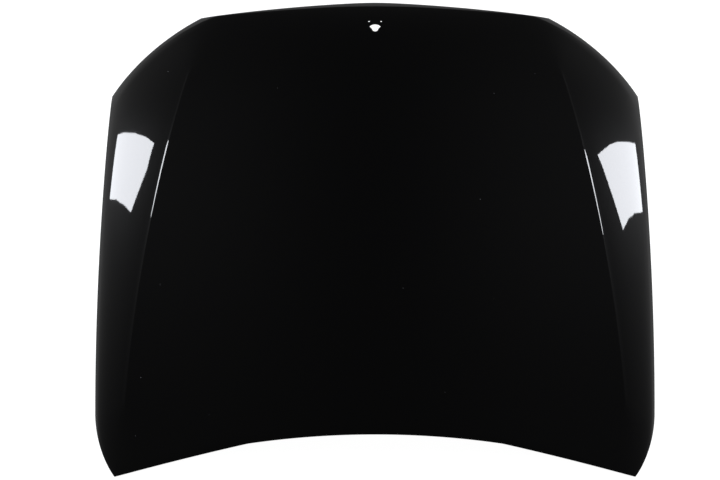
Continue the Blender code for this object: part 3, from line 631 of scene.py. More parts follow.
dust = tree.nodes.new("ShaderNodeTexVoronoi")
dust.inputs["Scale"].default_value = SPECK_SCALE
dust.inputs["Randomness"].default_value = 1.0
tree.links.new(object_place(tree), dust.inputs["Vector"])
near_speck = add_range(tree, dust.outputs["Distance"], *SPECK_EDGE, 1.0, 0.0)
picked = tree.nodes.new("ShaderNodeSeparateColor")
tree.links.new(dust.outputs["Color"], picked.inputs["Color"])
few = add_range(tree, picked.outputs["Red"], *SPECK_PICK, 0.0, 1.0)
speck = add_math(tree, "MULTIPLY", near_speck, few)
tree.links.new(mix_colours(tree, speck, PAINT_BLACK, SPECK_GREY), shader.inputs["Base Color"])

# %% [markdown]
# ## The outer skin
#
# The grid is bent in one go: each vertex gets its plan from the Region and its height from the
# crown. Then the border is extruded again and again along the hem's section, which ends on the
# sheet's inside, where a second bent grid closes the sheet. A plain grid was chosen over
# sculpting because its lines can follow the crease, and only then does the crease mirror as one
# clean line.

# %% The outer skin


def station(column, row):
    """Number of the outline station beside a border vertex of the grid."""
    if row == 0:
        return column
    if row == ROW_COUNT:
        return COLUMNS + ROW_COUNT + COLUMNS - column
    return COLUMNS + row if column == COLUMNS else STATIONS - row


shares_at = [column_shares(y) for y in ROWS]


def add_bent_grid(bm, place, depth):
    """A grid at a depth in the sheet, whose border lies on the hem's strip."""
    made = bmesh.ops.create_grid(bm, x_segments=COLUMNS, y_segments=ROW_COUNT, size=1.0)["verts"]
    for vert in made:
        column = round((vert.co.x + 1) / 2 * COLUMNS)
        row = round((vert.co.y + 1) / 2 * ROW_COUNT)
        if column in (0, COLUMNS) or row in (0, ROW_COUNT):
            vert[place] = station(column, row)
            _, inner, _, normal = HEM[vert[place]]
            vert.co = inner - normal * depth + RISE
        else:
            w = (strip_region.side[0][row] - strip_region.start) / strip_region.length
            share = shares_at[row][abs(column - HALF_COLUMNS)]
            plan = strip_region.point(math.copysign(share, column - HALF_COLUMNS), w)
            vert.co = face_point(*plan, depth)


skin_bm = bmesh.new()
place = skin_bm.verts.layers.int.new("place")
add_bent_grid(skin_bm, place, 0.0)
border = [edge for edge in skin_bm.edges if edge.is_boundary]
for step in range(len(HEM_SECTIONS[0])):
    border = extrude_loop(skin_bm, border, place, lambda i: HEM_SECTIONS[i][step] + RISE)
add_bent_grid(skin_bm, place, SKIN)
bmesh.ops.remove_doubles(skin_bm, verts=skin_bm.verts, dist=TINY)
bmesh.ops.recalc_face_normals(skin_bm, faces=skin_bm.faces)
print("open edges left in the skin:", sum(edge.is_boundary for edge in skin_bm.edges))
skin = add_piece("skin", skin_bm, body_paint, "body_paint", "outer_skin")

# %% [markdown]
# ## The badge hole
#
# With the badge gone, the nose shows a fan-shaped hole and two pin holes beside it. They are
# cut straight through with a Boolean. The fan is a wide arc and a small lobe, set square to the
# face where it sits.

# %% The badge hole
BADGE_Y = 0.5634
BADGE_ARC = 0.018
BADGE_ARC_Y = -0.0085
BADGE_HALF_ANGLE = math.radians(56.0)
BADGE_LOBE = 0.008
BADGE_LOBE_Y = -0.0075
BADGE_DEPTH = 0.008
PIN_HOLE = 0.0045
PIN_X = 0.016
PIN_Y = 0.0195
FAN_STEPS = 16
LOBE_STEPS = 20
PIN_STEPS = 24


def add_prism(bm, points, low, high):
    """Closed prism over a plan outline: one face, extruded."""
    base = bm.faces.new([bm.verts.new((*point[:2], low)) for point in points])
    raised = bmesh.ops.extrude_face_region(bm, geom=[base])["geom"]
    verts = [item for item in raised if isinstance(item, bmesh.types.BMVert)]
    bmesh.ops.translate(bm, vec=(0, 0, high - low), verts=verts)


def circle_points(radius, count, centre=(0.0, 0.0)):
    return [(centre[0] + radius * math.cos(2 * math.pi * i / count),
             centre[1] + radius * math.sin(2 * math.pi * i / count)) for i in range(count)]


def seat(centre, up):
    """Matrix of a flat place: its own x lies across the bonnet and its z is up."""
    across = Vector((1, 0, 0))
    across = (across - up * across.dot(up)).normalized()
    matrix = Matrix((across, up.cross(across), up)).transposed().to_4x4()
    matrix.translation = centre
    return matrix


turns = [BADGE_HALF_ANGLE * (1 - i / FAN_STEPS) for i in range(2 * FAN_STEPS + 1)]
fan = [(BADGE_ARC * math.sin(turn), BADGE_ARC_Y + BADGE_ARC * math.cos(turn)) for turn in turns]
turns = [math.pi * i / LOBE_STEPS for i in range(LOBE_STEPS + 1)]
fan += [(-BADGE_LOBE * math.cos(turn), BADGE_LOBE_Y - BADGE_LOBE * math.sin(turn))
        for turn in turns]
badge_bm = bmesh.new()
add_prism(badge_bm, fan, -BADGE_DEPTH, BADGE_DEPTH)
for side in (-1, 1):
    add_prism(badge_bm, circle_points(PIN_HOLE / 2, PIN_STEPS, (side * PIN_X, PIN_Y)),
              -BADGE_DEPTH, BADGE_DEPTH)
badge_place = seat(face_point(0.0, BADGE_Y), face_normal(0.0, BADGE_Y))
bmesh.ops.transform(badge_bm, matrix=badge_place, verts=badge_bm.verts)
cut_with(skin, badge_bm)
finish_piece(skin)

# %% [markdown]
# ## Satin paint, steel, zinc, rubber and mastic
#
# The other finishes. The frame has thin satin paint without clear coat. The reinforcements are
# galvanised steel, the strikers are zinc plated and passivated, which leaves a yellowish sheen,
# and the rubber and the mastic are dull.

# %% The other finishes


def patterned_finish(name, colours, pattern, roughness, metallic=0.0, blend=(0.0, 1.0), bump=None):
    """A finish that follows one noise, given as scale and detail. A bump has its own noise."""
    finish, tree, shader = new_finish(name, colours[0], roughness[0], metallic)
    noise = add_noise(tree, *pattern)
    tree.links.new(add_range(tree, noise, NOISE_LOW, NOISE_HIGH, *roughness),
                   shader.inputs["Roughness"])
    if len(colours) > 1:
        share = add_range(tree, noise, *blend, 0.0, 1.0)
        tree.links.new(mix_colours(tree, share, *colours), shader.inputs["Base Color"])
    if bump:
        scale, detail, depth, strength = bump
        add_bump(tree, add_noise(tree, scale, detail), depth, strength, shader.inputs["Normal"])
    return finish


frame_paint = patterned_finish("frame_paint", [(0.012, 0.012, 0.013)], pattern=(14.0, 4.0),
                               roughness=(0.30, 0.46), bump=(700.0, 2.0, 0.00003, 0.6))
coated_steel = patterned_finish("coated_steel", [(0.34, 0.35, 0.36), (0.52, 0.53, 0.54)],
                                pattern=(160.0, 3.0), roughness=(0.34, 0.52), metallic=1.0,
                                blend=(0.4, 0.6))
zinc_plate = patterned_finish("zinc_plate", [(0.66, 0.64, 0.58), (0.60, 0.52, 0.34)],
                              pattern=(60.0, 3.0), roughness=(0.24, 0.40), metallic=1.0,
                              blend=(0.35, 0.65))
buffer_rubber = patterned_finish("buffer_rubber", [(0.014, 0.014, 0.014)], pattern=(900.0, 2.0),
                                 roughness=(0.62, 0.82), bump=(900.0, 2.0, 0.00006, 0.8))
mastic = patterned_finish("mastic", [(0.24, 0.22, 0.19), (0.34, 0.32, 0.28)],
                          pattern=(240.0, 3.0), roughness=(0.8, 0.8),
                          bump=(240.0, 3.0, 0.0004, 0.7))

# %% [markdown]
# ## Pads of the inner frame
#
# Hinges, strikers and buffers each need a flat seat in the pressed sheet. A seat keeps its own
# small frame of axes, so everything that is bolted to it can be modelled flat and then set on it.

# %% Pads of the inner frame
RIB_DEPTH = 0.022
PAD_RUN = 0.009
HINGE_X, HINGE_Y = 0.565, -0.497
HINGE_PAD = 0.042, 0.088
HINGE_PAD_DROP = 0.003
HINGE_BOLT_PITCH = 0.050
HINGE_BOLT_HOLE = 0.009
STRIKER_X, STRIKER_Y = 0.230, 0.522
STRIKER_PAD = 0.076, 0.036
STRIKER_BOLT_PITCH = 0.050
STRIKER_BOLT = 0.006
BUFFER_X, BUFFER_Y = 0.455, 0.500
BUFFER_PAD = 0.040, 0.036
BUFFER_HOLE = 0.010
SIDES = {"left": -1, "right": 1}

hinge_seats = {name: seat(face_point(side * HINGE_X, HINGE_Y, RIB_DEPTH + HINGE_PAD_DROP),
                          face_normal(side * HINGE_X, HINGE_Y)) for name, side in SIDES.items()}
striker_seats = {name: seat(face_point(side * STRIKER_X, STRIKER_Y, RIB_DEPTH),
                            Vector((0, 0, 1))) for name, side in SIDES.items()}
buffer_seats = {name: seat(face_point(side * BUFFER_X, BUFFER_Y, RIB_DEPTH),
                           Vector((0, 0, 1))) for name, side in SIDES.items()}
pads = []
for seats, x, y, size in ((hinge_seats, HINGE_X, HINGE_Y, HINGE_PAD),
                          (striker_seats, STRIKER_X, STRIKER_Y, STRIKER_PAD),
                          (buffer_seats, BUFFER_X, BUFFER_Y, BUFFER_PAD)):
    pads += [(seats[name], Vector((side * x, y)), size) for name, side in SIDES.items()]
print("left striker seat at", [round(c, 4) for c in striker_seats["left"].translation])

# %% [markdown]
# ## The lattice of ribs
#
# The inner frame is a lattice: five cells across and six along. A cell is a closed loop that is
# extruded inwards ring by ring. The first rings lie on the rib, the next climb the pocket's
# rounded wall, and the last ones are the pocket's rim around its opening. Every ring has the
# same number of points, so the extrusion gives clean quads and even highlights.

# %% The lattice of ribs
BLOCK_INSET = 0.025
EDGE_DEPTH = 0.012
RIB_HALF = 0.018
POCKET_RUN = 0.013
POCKET_DEPTH = 0.005
POCKET_FLANGE = 0.010
POCKET_CORNER = 0.034
COLUMN_LINES = -1.0, -0.6, -0.2, 0.2, 0.6, 1.0
ROW_LINES = 0.0, 0.125, 0.305, 0.485, 0.665, 0.85, 1.0
ACCESS = 0.066, 0.050
ACCESS_CORNER = 0.012
ACCESS_Y = 0.567
ARC_STEPS = 3
STRAIGHT_STEPS = 6
CELL_STEPS = 2 * ARC_STEPS + STRAIGHT_STEPS
WALL_BEND = 0.0045
BEND_STEPS = 5
RIB_RINGS = 6
FRAME_STEP = 0.008
PAD_RINGS = 8
LOCATE_ROUNDS = 20
ABOVE_ROUNDS = 6

block = Region(BLOCK_INSET)


def bent(points, run, steps):
    """A line through 2-D points, with each inner corner rounded over a run to either side."""
    line = [Vector(points[0])]
    for before, corner, after in zip(points, points[1:], points[2:]):
        corner = Vector(corner)
        start = corner + (Vector(before) - corner).normalized() * run
        end = corner + (Vector(after) - corner).normalized() * run
        for step in range(steps + 1):
            share = step / steps
            line.append(start.lerp(corner, share).lerp(corner.lerp(end, share), share))
    return line + [Vector(points[-1])]


def rounded_ring(half_x, half_y, corner):
    """Rounded rectangle that starts in the middle of its upper right corner's arc."""
    corner = min(corner, half_x, half_y)
    inner_x, inner_y = half_x - corner, half_y - corner
    middles = ((inner_x, inner_y), (-inner_x, inner_y), (-inner_x, -inner_y), (inner_x, -inner_y))

    def arc_point(middle, eighths):
        turn = eighths * math.pi / 4
        return Vector(middle) + corner * Vector((math.cos(turn), math.sin(turn)))

    points = []
    for quarter, middle in enumerate(middles):
        after = middles[(quarter + 1) % 4]
        half_way = 2 * quarter + 1
        points += [arc_point(middle, half_way + step / ARC_STEPS) for step in range(ARC_STEPS)]
        arc_end, next_start = arc_point(middle, half_way + 1), arc_point(after, half_way + 1)
        points += [arc_end.lerp(next_start, step / STRAIGHT_STEPS)
                   for step in range(STRAIGHT_STEPS)]
        points += [arc_point(after, half_way + 1 + step / ARC_STEPS) for step in range(ARC_STEPS)]
    return points


def rib_depth(s, w):
    """Depth of the ribs, which rise towards the block's border."""
    inward = min((1 - abs(s)) * block.width(w), w * block.length, (1 - w) * block.length)
    rise = max(0.0, 1 - inward / RIB_HALF) ** 2
    return RIB_DEPTH - (RIB_DEPTH - EDGE_DEPTH) * rise


def to_shoulder(w, first, second):
    """Moves w so that one region's shoulder falls on another's."""
    if w <= first.shoulder_w:
        return w * second.shoulder_w / first.shoulder_w
    share = (w - first.shoulder_w) / (1 - first.shoulder_w)
    return second.shoulder_w + share * (1 - second.shoulder_w)


side_marks = [low + (high - low) * step / CELL_STEPS
              for low, high in zip(ROW_LINES, ROW_LINES[1:]) for step in range(CELL_STEPS)]
shoulder_mark = min(side_marks, key=lambda w: abs(w - block.shoulder_w))


def cell_border(columns, rows):
    """The s and w of a cell's border points, from its upper right corner round."""
    corners = ((columns[1], rows[1]), (columns[0], rows[1]), (columns[0], rows[0]),
               (columns[1], rows[0]))
    points = []
    for (s, w), (next_s, next_w) in zip(corners, corners[1:] + corners[:1]):
        for step in range(CELL_STEPS):
            share = step / CELL_STEPS
            mark = w + (next_w - w) * share
            at = s + (next_s - s) * share
            if abs(abs(at) - 1) < TINY and abs(mark - shoulder_mark) < TINY:
                mark = block.shoulder_w
            points.append((at, mark))
    return points


def lattice_point(s, w):
    return face_point(*block.point(s, w), rib_depth(s, w), FRAME_STEP)


def ring_corner(inset):
    """Radius of a pocket ring's corners at an inset from the lattice line."""
    stops = (0.0, RIB_HALF, RIB_HALF + POCKET_RUN, RIB_HALF + POCKET_RUN + POCKET_FLANGE)
    radii = (0.0, POCKET_CORNER, POCKET_CORNER - POCKET_RUN / 2, POCKET_CORNER - POCKET_RUN)
    return interpolate(inset, stops, radii)


def cell_ring(columns, rows, inset, depth):
    """A rounded ring inside a cell, as points on the sheet."""
    s = (columns[0] + columns[1]) / 2
    w = (rows[0] + rows[1]) / 2
    width = block.width(w)
    half_x = (columns[1] - columns[0]) / 2 * width - inset
    half_y = (rows[1] - rows[0]) / 2 * block.length - inset
    ring = []
    for dx, dy in rounded_ring(half_x, half_y, ring_corner(inset)):
        at = s + dx / width, w + dy / block.length
        ring.append(face_point(*block.point(*at), min(depth, rib_depth(*at)), FRAME_STEP))
    return ring


def locate(plan):
    """s and w of a plan point in the block."""
    s, w = 0.0, 0.5
    for _ in range(LOCATE_ROUNDS):
        s = plan.x / block.width(w)
        rear = block.point(s, 0.0).y
        w = (plan.y - rear) / (block.point(s, 1.0).y - rear)
    return s, w


def above(goal):
    """Plan point on the face whose rib floor, square below it, has the wanted plan."""
    plan = goal.copy()
    for _ in range(ABOVE_ROUNDS):
        plan += goal - face_point(*plan, RIB_DEPTH, FRAME_STEP).xy
    return plan


def floor_rings(border, goal):
    """Rings on the rib's own floor from a cell's border to a ring of plan points."""
    starts = [block.point(s, w) for s, w in border]
    rings = []
    for step in range(1, RIB_RINGS + 1):
        plans = [start.lerp(end, step / RIB_RINGS) for start, end in zip(starts, goal)]
        rings.append([face_point(*plan, rib_depth(*locate(plan)), FRAME_STEP) for plan in plans])
    return rings


def pad_rings(border, pad_seat, centre, size):
    """Rings from a cell's border to a pad's flat top."""
    foot = [centre + point for point in rounded_ring(size[0] / 2 + PAD_RUN,
                                                     size[1] / 2 + PAD_RUN, PAD_RUN * 2)]
    rings = floor_rings(border, foot)
    foot_ring = rings[-1]
    top = [pad_seat @ point.to_3d() for point in rounded_ring(size[0] / 2, size[1] / 2, PAD_RUN)]
    for step in range(1, PAD_RINGS + 1):
        share = step / PAD_RINGS
        ring = [low.lerp(high, share) for low, high in zip(foot_ring, top)]
        climb = share * share * (3 - 2 * share)
        for point, low, high in zip(ring, foot_ring, top):
            point.z = low.z + (high.z - low.z) * climb
        rings.append(ring)
    return rings


pocket_line = bent(((RIB_HALF / 2, RIB_DEPTH), (RIB_HALF, RIB_DEPTH),
                    (RIB_HALF + POCKET_RUN, POCKET_DEPTH),
                    (RIB_HALF + POCKET_RUN + POCKET_FLANGE, POCKET_DEPTH)), WALL_BEND, BEND_STEPS)
pad_cells = {}
for pad in pads:
    s, w = locate(pad[1])
    pad_cells[sum(s >= line for line in COLUMN_LINES) - 1,
              sum(w >= line for line in ROW_LINES) - 1] = pad
access_ring = [above(Vector((0.0, ACCESS_Y)) + point)
               for point in rounded_ring(ACCESS[0] / 2, ACCESS[1] / 2, ACCESS_CORNER)]

frame_bm = bmesh.new()
place = frame_bm.verts.layers.int.new("place")
rim = frame_bm.verts.layers.int.new("rim")
rim_marks = []
for column in range(len(COLUMN_LINES) - 1):
    for row in range(len(ROW_LINES) - 1):
        columns, rows = COLUMN_LINES[column:column + 2], ROW_LINES[row:row + 2]
        border = cell_border(columns, rows)
        loop = start_loop(frame_bm, place, [lattice_point(s, w) for s, w in border])
        marked = {vert for edge in loop for vert in edge.verts}
        if (column, row) in pad_cells:
            rings = pad_rings(border, *pad_cells[column, row])
        elif row == len(ROW_LINES) - 2:
            rings = floor_rings(border, access_ring)
        else:
            rings = [cell_ring(columns, rows, inset, depth) for inset, depth in pocket_line]
        for ring in rings:
            loop = extrude_loop(frame_bm, loop, place, lambda i: ring[i])
        if (column, row) in pad_cells:
            bmesh.ops.contextual_create(frame_bm, geom=loop)
        for vert in marked:
            s, w = border[vert[place]]
            if min(1 - abs(s), w, 1 - w) < TINY:
                rim_marks.append((s, w))
                vert[rim] = len(rim_marks)
bmesh.ops.remove_doubles(frame_bm, verts=frame_bm.verts, dist=TINY)
print(len(frame_bm.faces), "faces in the lattice,", len(rim_marks), "marks on its rim")

# %% [markdown]
# ## The frame's edge
#
# Outside the lattice the sheet climbs to the skin and ends in the flange that the hem clamps.
# Each mark on the lattice's border is matched to a place along the outline, and the border is
# extruded outwards along the lines between them.

# %% The frame's edge
RISE_RINGS = 6


def outline_place(s, w):
    """Where along the numbered stations a border mark of the lattice belongs."""
    ring = strip_region.ring
    if w < TINY or w > 1 - TINY:
        stations = range(COLUMNS + 1) if w < TINY else range(
            2 * COLUMNS + ROW_COUNT, COLUMNS + ROW_COUNT - 1, -1)
        shares = [ring[i].x / ring[stations[-1]].x for i in stations]
        return interpolate(s, shares, list(stations))
    w = to_shoulder(w, block, strip_region)
    number = interpolate(strip_region.start + w * strip_region.length, strip_region.side[0],
                         range(COLUMNS, COLUMNS + ROW_COUNT + 1))
    return number if s > 0 else STATIONS + COLUMNS - number


def hem_at(number):
    """The hem's edge, inner point, outward vector and normal between two stations."""
    first = int(number)
    share = number - first
    pairs = zip(HEM[first % STATIONS], HEM[(first + 1) % STATIONS])
    return [low.lerp(high, share) for low, high in pairs]


rim_places = []
for s, w in rim_marks:
    edge, inner, out, normal = hem_at(outline_place(s, w))
    start = block.point(s, w)
    path = []
    for step in range(1, RISE_RINGS):
        share = step / RISE_RINGS
        depth = FLANGE_DEPTH + (EDGE_DEPTH - FLANGE_DEPTH) * (1 - share) ** 2
        path.append(face_point(*start.lerp(inner.xy, share), depth))
    path.append(inner - normal * FLANGE_DEPTH + RISE)
    path.append(edge - out * (FOLD_RADIUS + GAP) - normal * FLANGE_DEPTH + RISE)
    rim_places.append(path)
loop = [edge for edge in frame_bm.edges
        if edge.is_boundary and all(vert[rim] for vert in edge.verts)]
print(len(loop), "edges round the lattice")
for step in range(RISE_RINGS + 1):
    loop = extrude_loop(frame_bm, loop, rim, lambda i: rim_places[i - 1][step])
face_up(frame_bm)
inner_frame = add_piece("frame", frame_bm, frame_paint, "frame_paint", "inner_frame")
add_wall(inner_frame, FRAME)

# %% [markdown]
# ## Holes in the frame
#
# Bolt holes and buffer holes are cut through the pads with one Boolean, after the sheet has its
# thickness.

# %% Holes in the frame
HOLE_SIDES = 32
holes = []
for name in SIDES:
    for way in (-1, 1):
        holes.append((hinge_seats[name], (0.0, way * HINGE_BOLT_PITCH / 2), HINGE_BOLT_HOLE))
        holes.append((striker_seats[name], (way * STRIKER_BOLT_PITCH / 2, 0.0),
                      STRIKER_BOLT + 4 * GAP))
    holes.append((buffer_seats[name], (0.0, 0.0), BUFFER_HOLE))
holes_bm = bmesh.new()
for hole_seat, centre, width in holes:
    before = set(holes_bm.verts)
    add_prism(holes_bm, circle_points(width / 2, HOLE_SIDES, centre), -4 * FRAME, 4 * FRAME)
    bmesh.ops.transform(holes_bm, matrix=hole_seat,
                        verts=[vert for vert in holes_bm.verts if vert not in before])
cut_with(inner_frame, holes_bm)
finish_piece(inner_frame)

# %% [markdown]
# ## Strikers
#
# Two steel loops hang under the nose, one for each latch. Each is a bent wire welded to a plate,
# and two flanged bolts hold the plate. A bolt is one loft: it goes from the chamfered hexagon
# through the flange to the shank, always with the same number of points round.

# %% Strikers
STRIKER_PLATE = 0.066, 0.026
STRIKER_PLATE_THICKNESS = 0.003
STRIKER_PLATE_CORNER = 0.006
STRIKER_HEAD = 0.010, 0.005
HEAD_FACE_RADIUS = 0.0040
HEAD_CHAMFER_RADIUS = 0.0046
HEAD_FOOT = 0.0004
STRIKER_HEAD_FLANGE = 0.013, 0.0015
FLANGE_LINE = (0.0006, 0.0), (0.0002, 0.0003), (0.0, 0.0008), (0.0, 0.0013), (0.0002, 0.0015)
SHANK_CHAMFER = 0.0007
STRIKER_NUT_HEIGHT = 0.005
STRIKER_REINFORCEMENT = 0.0020
STRIKER_BOLT_END = 0.002
LOOP_WIRE = 0.008
LOOP_WIDTH = 0.030
LOOP_HEIGHT = 0.036
LOOP_BEND = 0.008
LOOP_BEND_STEPS = 12
WIRE_STEPS = 32
WELD_RISE = 0.0025
WELD_SPREAD = 0.0016
WELD_SHARES = 0.0, 0.3, 0.6, 1.0
ROUND_STEPS = 48
EDGE_ROUND = 0.0005
EDGE_SEGMENTS = 3
EDGE_ANGLE = math.radians(50)
CUT_REACH = 0.010


def loft(rings):
    """A closed solid through rings of points, flat at both ends."""
    bm = bmesh.new()
    place = bm.verts.layers.int.new("place")
    loop = start_loop(bm, place, rings[0])
    bmesh.ops.contextual_create(bm, geom=loop)
    for ring in rings[1:]:
        loop = extrude_loop(bm, loop, place, lambda i: ring[i])
    bmesh.ops.contextual_create(bm, geom=loop)
    bmesh.ops.recalc_face_normals(bm, faces=bm.faces)
    return bm


def turned(line):
    """Rings of a turned solid through (radius, height) points."""
    return [[Vector((*point, height)) for point in circle_points(radius, ROUND_STEPS)]
            for radius, height in line]


def hexagon_ring(across, height, chamfer_from=None):
    """A ring round a hexagon; with a chamfer its corners stay back from the given radius."""
    ring = []
    for x, y in circle_points(1.0, ROUND_STEPS):
        turn = math.atan2(y, x) % (math.pi / 3) - math.pi / 6
        radius = across / 2 / math.cos(turn)
        back = (radius - chamfer_from) * math.tan(math.pi / 6) if chamfer_from else 0.0
        ring.append(Vector((x * radius, y * radius, height + back)))
    return ring


def move_to(bm, matrix):
    bmesh.ops.transform(bm, matrix=matrix, verts=bm.verts)
    return bm


plate_top = -FRAME - GAP
plate_low = plate_top - STRIKER_PLATE_THICKNESS
half = (LOOP_WIDTH - LOOP_WIRE) / 2
wire_top = plate_low - GAP
wire_low = wire_top - LOOP_HEIGHT + LOOP_WIRE / 2
wire_line = bent(((-half, wire_top), (-half, wire_low), (half, wire_low), (half, wire_top)),
                 LOOP_BEND, LOOP_BEND_STEPS)
bolt_top = 2 * GAP + STRIKER_REINFORCEMENT + STRIKER_NUT_HEIGHT + STRIKER_BOLT_END
flange_top = plate_low - GAP
flange_low = flange_top - STRIKER_HEAD_FLANGE[1]
head_low = flange_low - STRIKER_HEAD[1]
flange_line = [(STRIKER_HEAD_FLANGE[0] / 2 - inset, flange_low + height)
               for inset, height in FLANGE_LINE]
bolt_rings = turned([(HEAD_FACE_RADIUS, head_low), (HEAD_CHAMFER_RADIUS, head_low)])
bolt_rings += [hexagon_ring(STRIKER_HEAD[0], head_low, HEAD_CHAMFER_RADIUS),
               hexagon_ring(STRIKER_HEAD[0], flange_low - HEAD_FOOT)]
bolt_rings += turned([*flange_line, (STRIKER_BOLT / 2, flange_top),
                      (STRIKER_BOLT / 2, bolt_top - SHANK_CHAMFER),
                      (STRIKER_BOLT / 2 - SHANK_CHAMFER, bolt_top)])

for name, striker_seat in striker_seats.items():
    plate_bm = bmesh.new()
    add_prism(plate_bm, rounded_ring(STRIKER_PLATE[0] / 2, STRIKER_PLATE[1] / 2,
                                     STRIKER_PLATE_CORNER), plate_low, plate_top)
    plate = add_piece("striker_plate_fine_" + name, move_to(plate_bm, striker_seat), zinc_plate,
                      "zinc_plate", "striker_plate_" + name)
    bores_bm = bmesh.new()
    for way in (-1, 1):
        bore = circle_points(STRIKER_BOLT / 2 + 2 * GAP, HOLE_SIDES,
                             (way * STRIKER_BOLT_PITCH / 2, 0.0))
        add_prism(bores_bm, bore, -CUT_REACH, CUT_REACH)
    cut_with(plate, move_to(bores_bm, striker_seat))
    bevel = plate.modifiers.new("edges", "BEVEL")
    bevel.affect = "EDGES"
    bevel.width = EDGE_ROUND
    bevel.segments = EDGE_SEGMENTS
    bevel.profile = 0.5
    bevel.material = -1
    bevel.limit_method = "ANGLE"
    bevel.angle_limit = EDGE_ANGLE
    finish_piece(plate)

    wire_rings = []
    for i, (x, z) in enumerate(wire_line):
        before, after = wire_line[max(0, i - 1)], wire_line[min(len(wire_line) - 1, i + 1)]
        along = (after - before).normalized()
        wire_rings.append([Vector((x - along.y * u, v, z + along.x * u))
                           for u, v in circle_points(LOOP_WIRE / 2, WIRE_STEPS)])
    for end, rings in ((wire_line[0], wire_rings), (wire_line[-1], wire_rings[::-1])):
        collar = []
        for share in WELD_SHARES:
            swell = 1 + WELD_SPREAD * (1 - share) ** 2 / (LOOP_WIRE / 2)
            lower = Vector((0, 0, -WELD_RISE * share))
            centre = Vector((end.x, 0, end.y))
            collar.append([centre + (point - centre) * swell + lower for point in rings[0]])
        if rings is wire_rings:
            wire_start = collar
        else:
            wire_end = collar[::-1]
    loop_piece = add_piece("striker_loop_fine_" + name,
                           move_to(loft(wire_start + wire_rings[1:-1] + wire_end), striker_seat),
                           zinc_plate, "zinc_plate", "striker_loop_" + name)
    finish_piece(loop_piece)

    for label, way in SIDES.items():
        spot = striker_seat @ Matrix.Translation((way * STRIKER_BOLT_PITCH / 2, 0, 0))
        bolt = add_piece(f"striker_bolt_fine_{name}_{label}", move_to(loft(bolt_rings), spot),
                         zinc_plate, "zinc_plate", f"striker_bolt_{name}_{label}")
        finish_piece(bolt)

# %% [markdown]
# ## Rubber buffers
#
# A buffer is a turned shape: a broad head that meets the body, a neck in the sheet's hole and a
# barb that holds it. Its edges are rounded with the same bent line as the pockets.

# %% Rubber buffers
BUFFER_HEAD = 0.024, 0.013
BUFFER_TIP = 0.017, 0.003
BUFFER_BARB = 0.013, 0.005
BUFFER_BARB_TIP = 0.007, 0.0035
BUFFER_FACE_RIM = 0.003
BUFFER_BARB_RIM = 0.002
HEAD_BEND, HEAD_BEND_STEPS = 0.0012, 4
NECK_BEND, NECK_BEND_STEPS = 0.0003, 3

under = -FRAME - GAP
face = under - BUFFER_HEAD[1]
barb_top = GAP + BUFFER_BARB[1]
tip, head, neck = BUFFER_TIP[0] / 2, BUFFER_HEAD[0] / 2, BUFFER_HOLE / 2 - GAP
barb, barb_tip = BUFFER_BARB[0] / 2, BUFFER_BARB_TIP[0] / 2
buffer_line = bent(((tip - BUFFER_FACE_RIM, face), (tip, face), (head, face + BUFFER_TIP[1]),
                    (head, under)), HEAD_BEND, HEAD_BEND_STEPS)
buffer_line += bent(((head - NECK_BEND, under), (neck, under), (neck, GAP), (barb, GAP),
                     (barb, barb_top - BUFFER_BARB_TIP[1]), (barb_tip, barb_top),
                     (barb_tip - BUFFER_BARB_RIM, barb_top)), NECK_BEND, NECK_BEND_STEPS)
for name, buffer_seat in buffer_seats.items():
    buffer = add_piece("buffer_fine_" + name, move_to(loft(turned(buffer_line)), buffer_seat),
                       buffer_rubber, "buffer_rubber", "rubber_buffer_" + name)
    finish_piece(buffer)

# %% [markdown]
# ## Mastic
#
# Soft dabs between the pockets and the skin keep the skin from drumming. They are squeezed blobs:
# a sphere flattened between the two sheets, with an uneven edge.

# %% Mastic
MASTIC = 0.030, 0.008
MASTIC_TOP_GAP = 0.0009
MASTIC_FOOT_GAP = 0.0004
MASTIC_COLUMNS = 1, 2, 3
MASTIC_ROWS = 0, 1, 2, 3
DAB_SEGMENTS = 32, 16
DAB_WAVES = 3
DAB_UNEVEN = 0.06
DAB_FLATNESS = 0.45

for row in MASTIC_ROWS:
    for column in MASTIC_COLUMNS:
        s = (COLUMN_LINES[column] + COLUMN_LINES[column + 1]) / 2
        w = ROW_LINES[row] + (RIB_HALF + POCKET_RUN + POCKET_FLANGE / 2) / block.length
        middle = block.point(s, w)
        dab_bm = bmesh.new()
        bmesh.ops.create_uvsphere(dab_bm, u_segments=DAB_SEGMENTS[0],
                                  v_segments=DAB_SEGMENTS[1], radius=1.0)
        top, foot = SKIN + MASTIC_TOP_GAP, POCKET_DEPTH - MASTIC_FOOT_GAP
        for vert in dab_bm.verts:
            turn = math.atan2(vert.co.y, vert.co.x)
            wave = math.sin(DAB_WAVES * turn + row + 2 * column)
            uneven = 1 - DAB_UNEVEN * (1 + wave) / 2
            flat = math.copysign(abs(vert.co.z) ** DAB_FLATNESS, vert.co.z)
            plan = middle + Vector((vert.co.x * MASTIC[0], vert.co.y * MASTIC[1])) / 2 * uneven
            vert.co = face_point(*plan, (top + foot) / 2 - flat * (foot - top) / 2)
        dab = add_piece(f"dab_{row + 1}_{column}", dab_bm, mastic, "mastic",
                        f"mastic_dab_{row + 1}_{column}")
        finish_piece(dab)

# %% [markdown]
# ## The floor
#
# The picture's ground is plain white. The floor is a large pale plane. Its colour alone would
# show as light grey, so for the camera, and for what mirrors it, a little even glow is added.
# The glow stops just short of white, which leaves room for the bonnet's soft shadow.

# %% The floor
FLOOR_SIZE = 12.0
FLOOR_GREY = 0.25, 0.25, 0.25
FLOOR_ROUGHNESS = 0.9
FLOOR_GLOW = 0.96

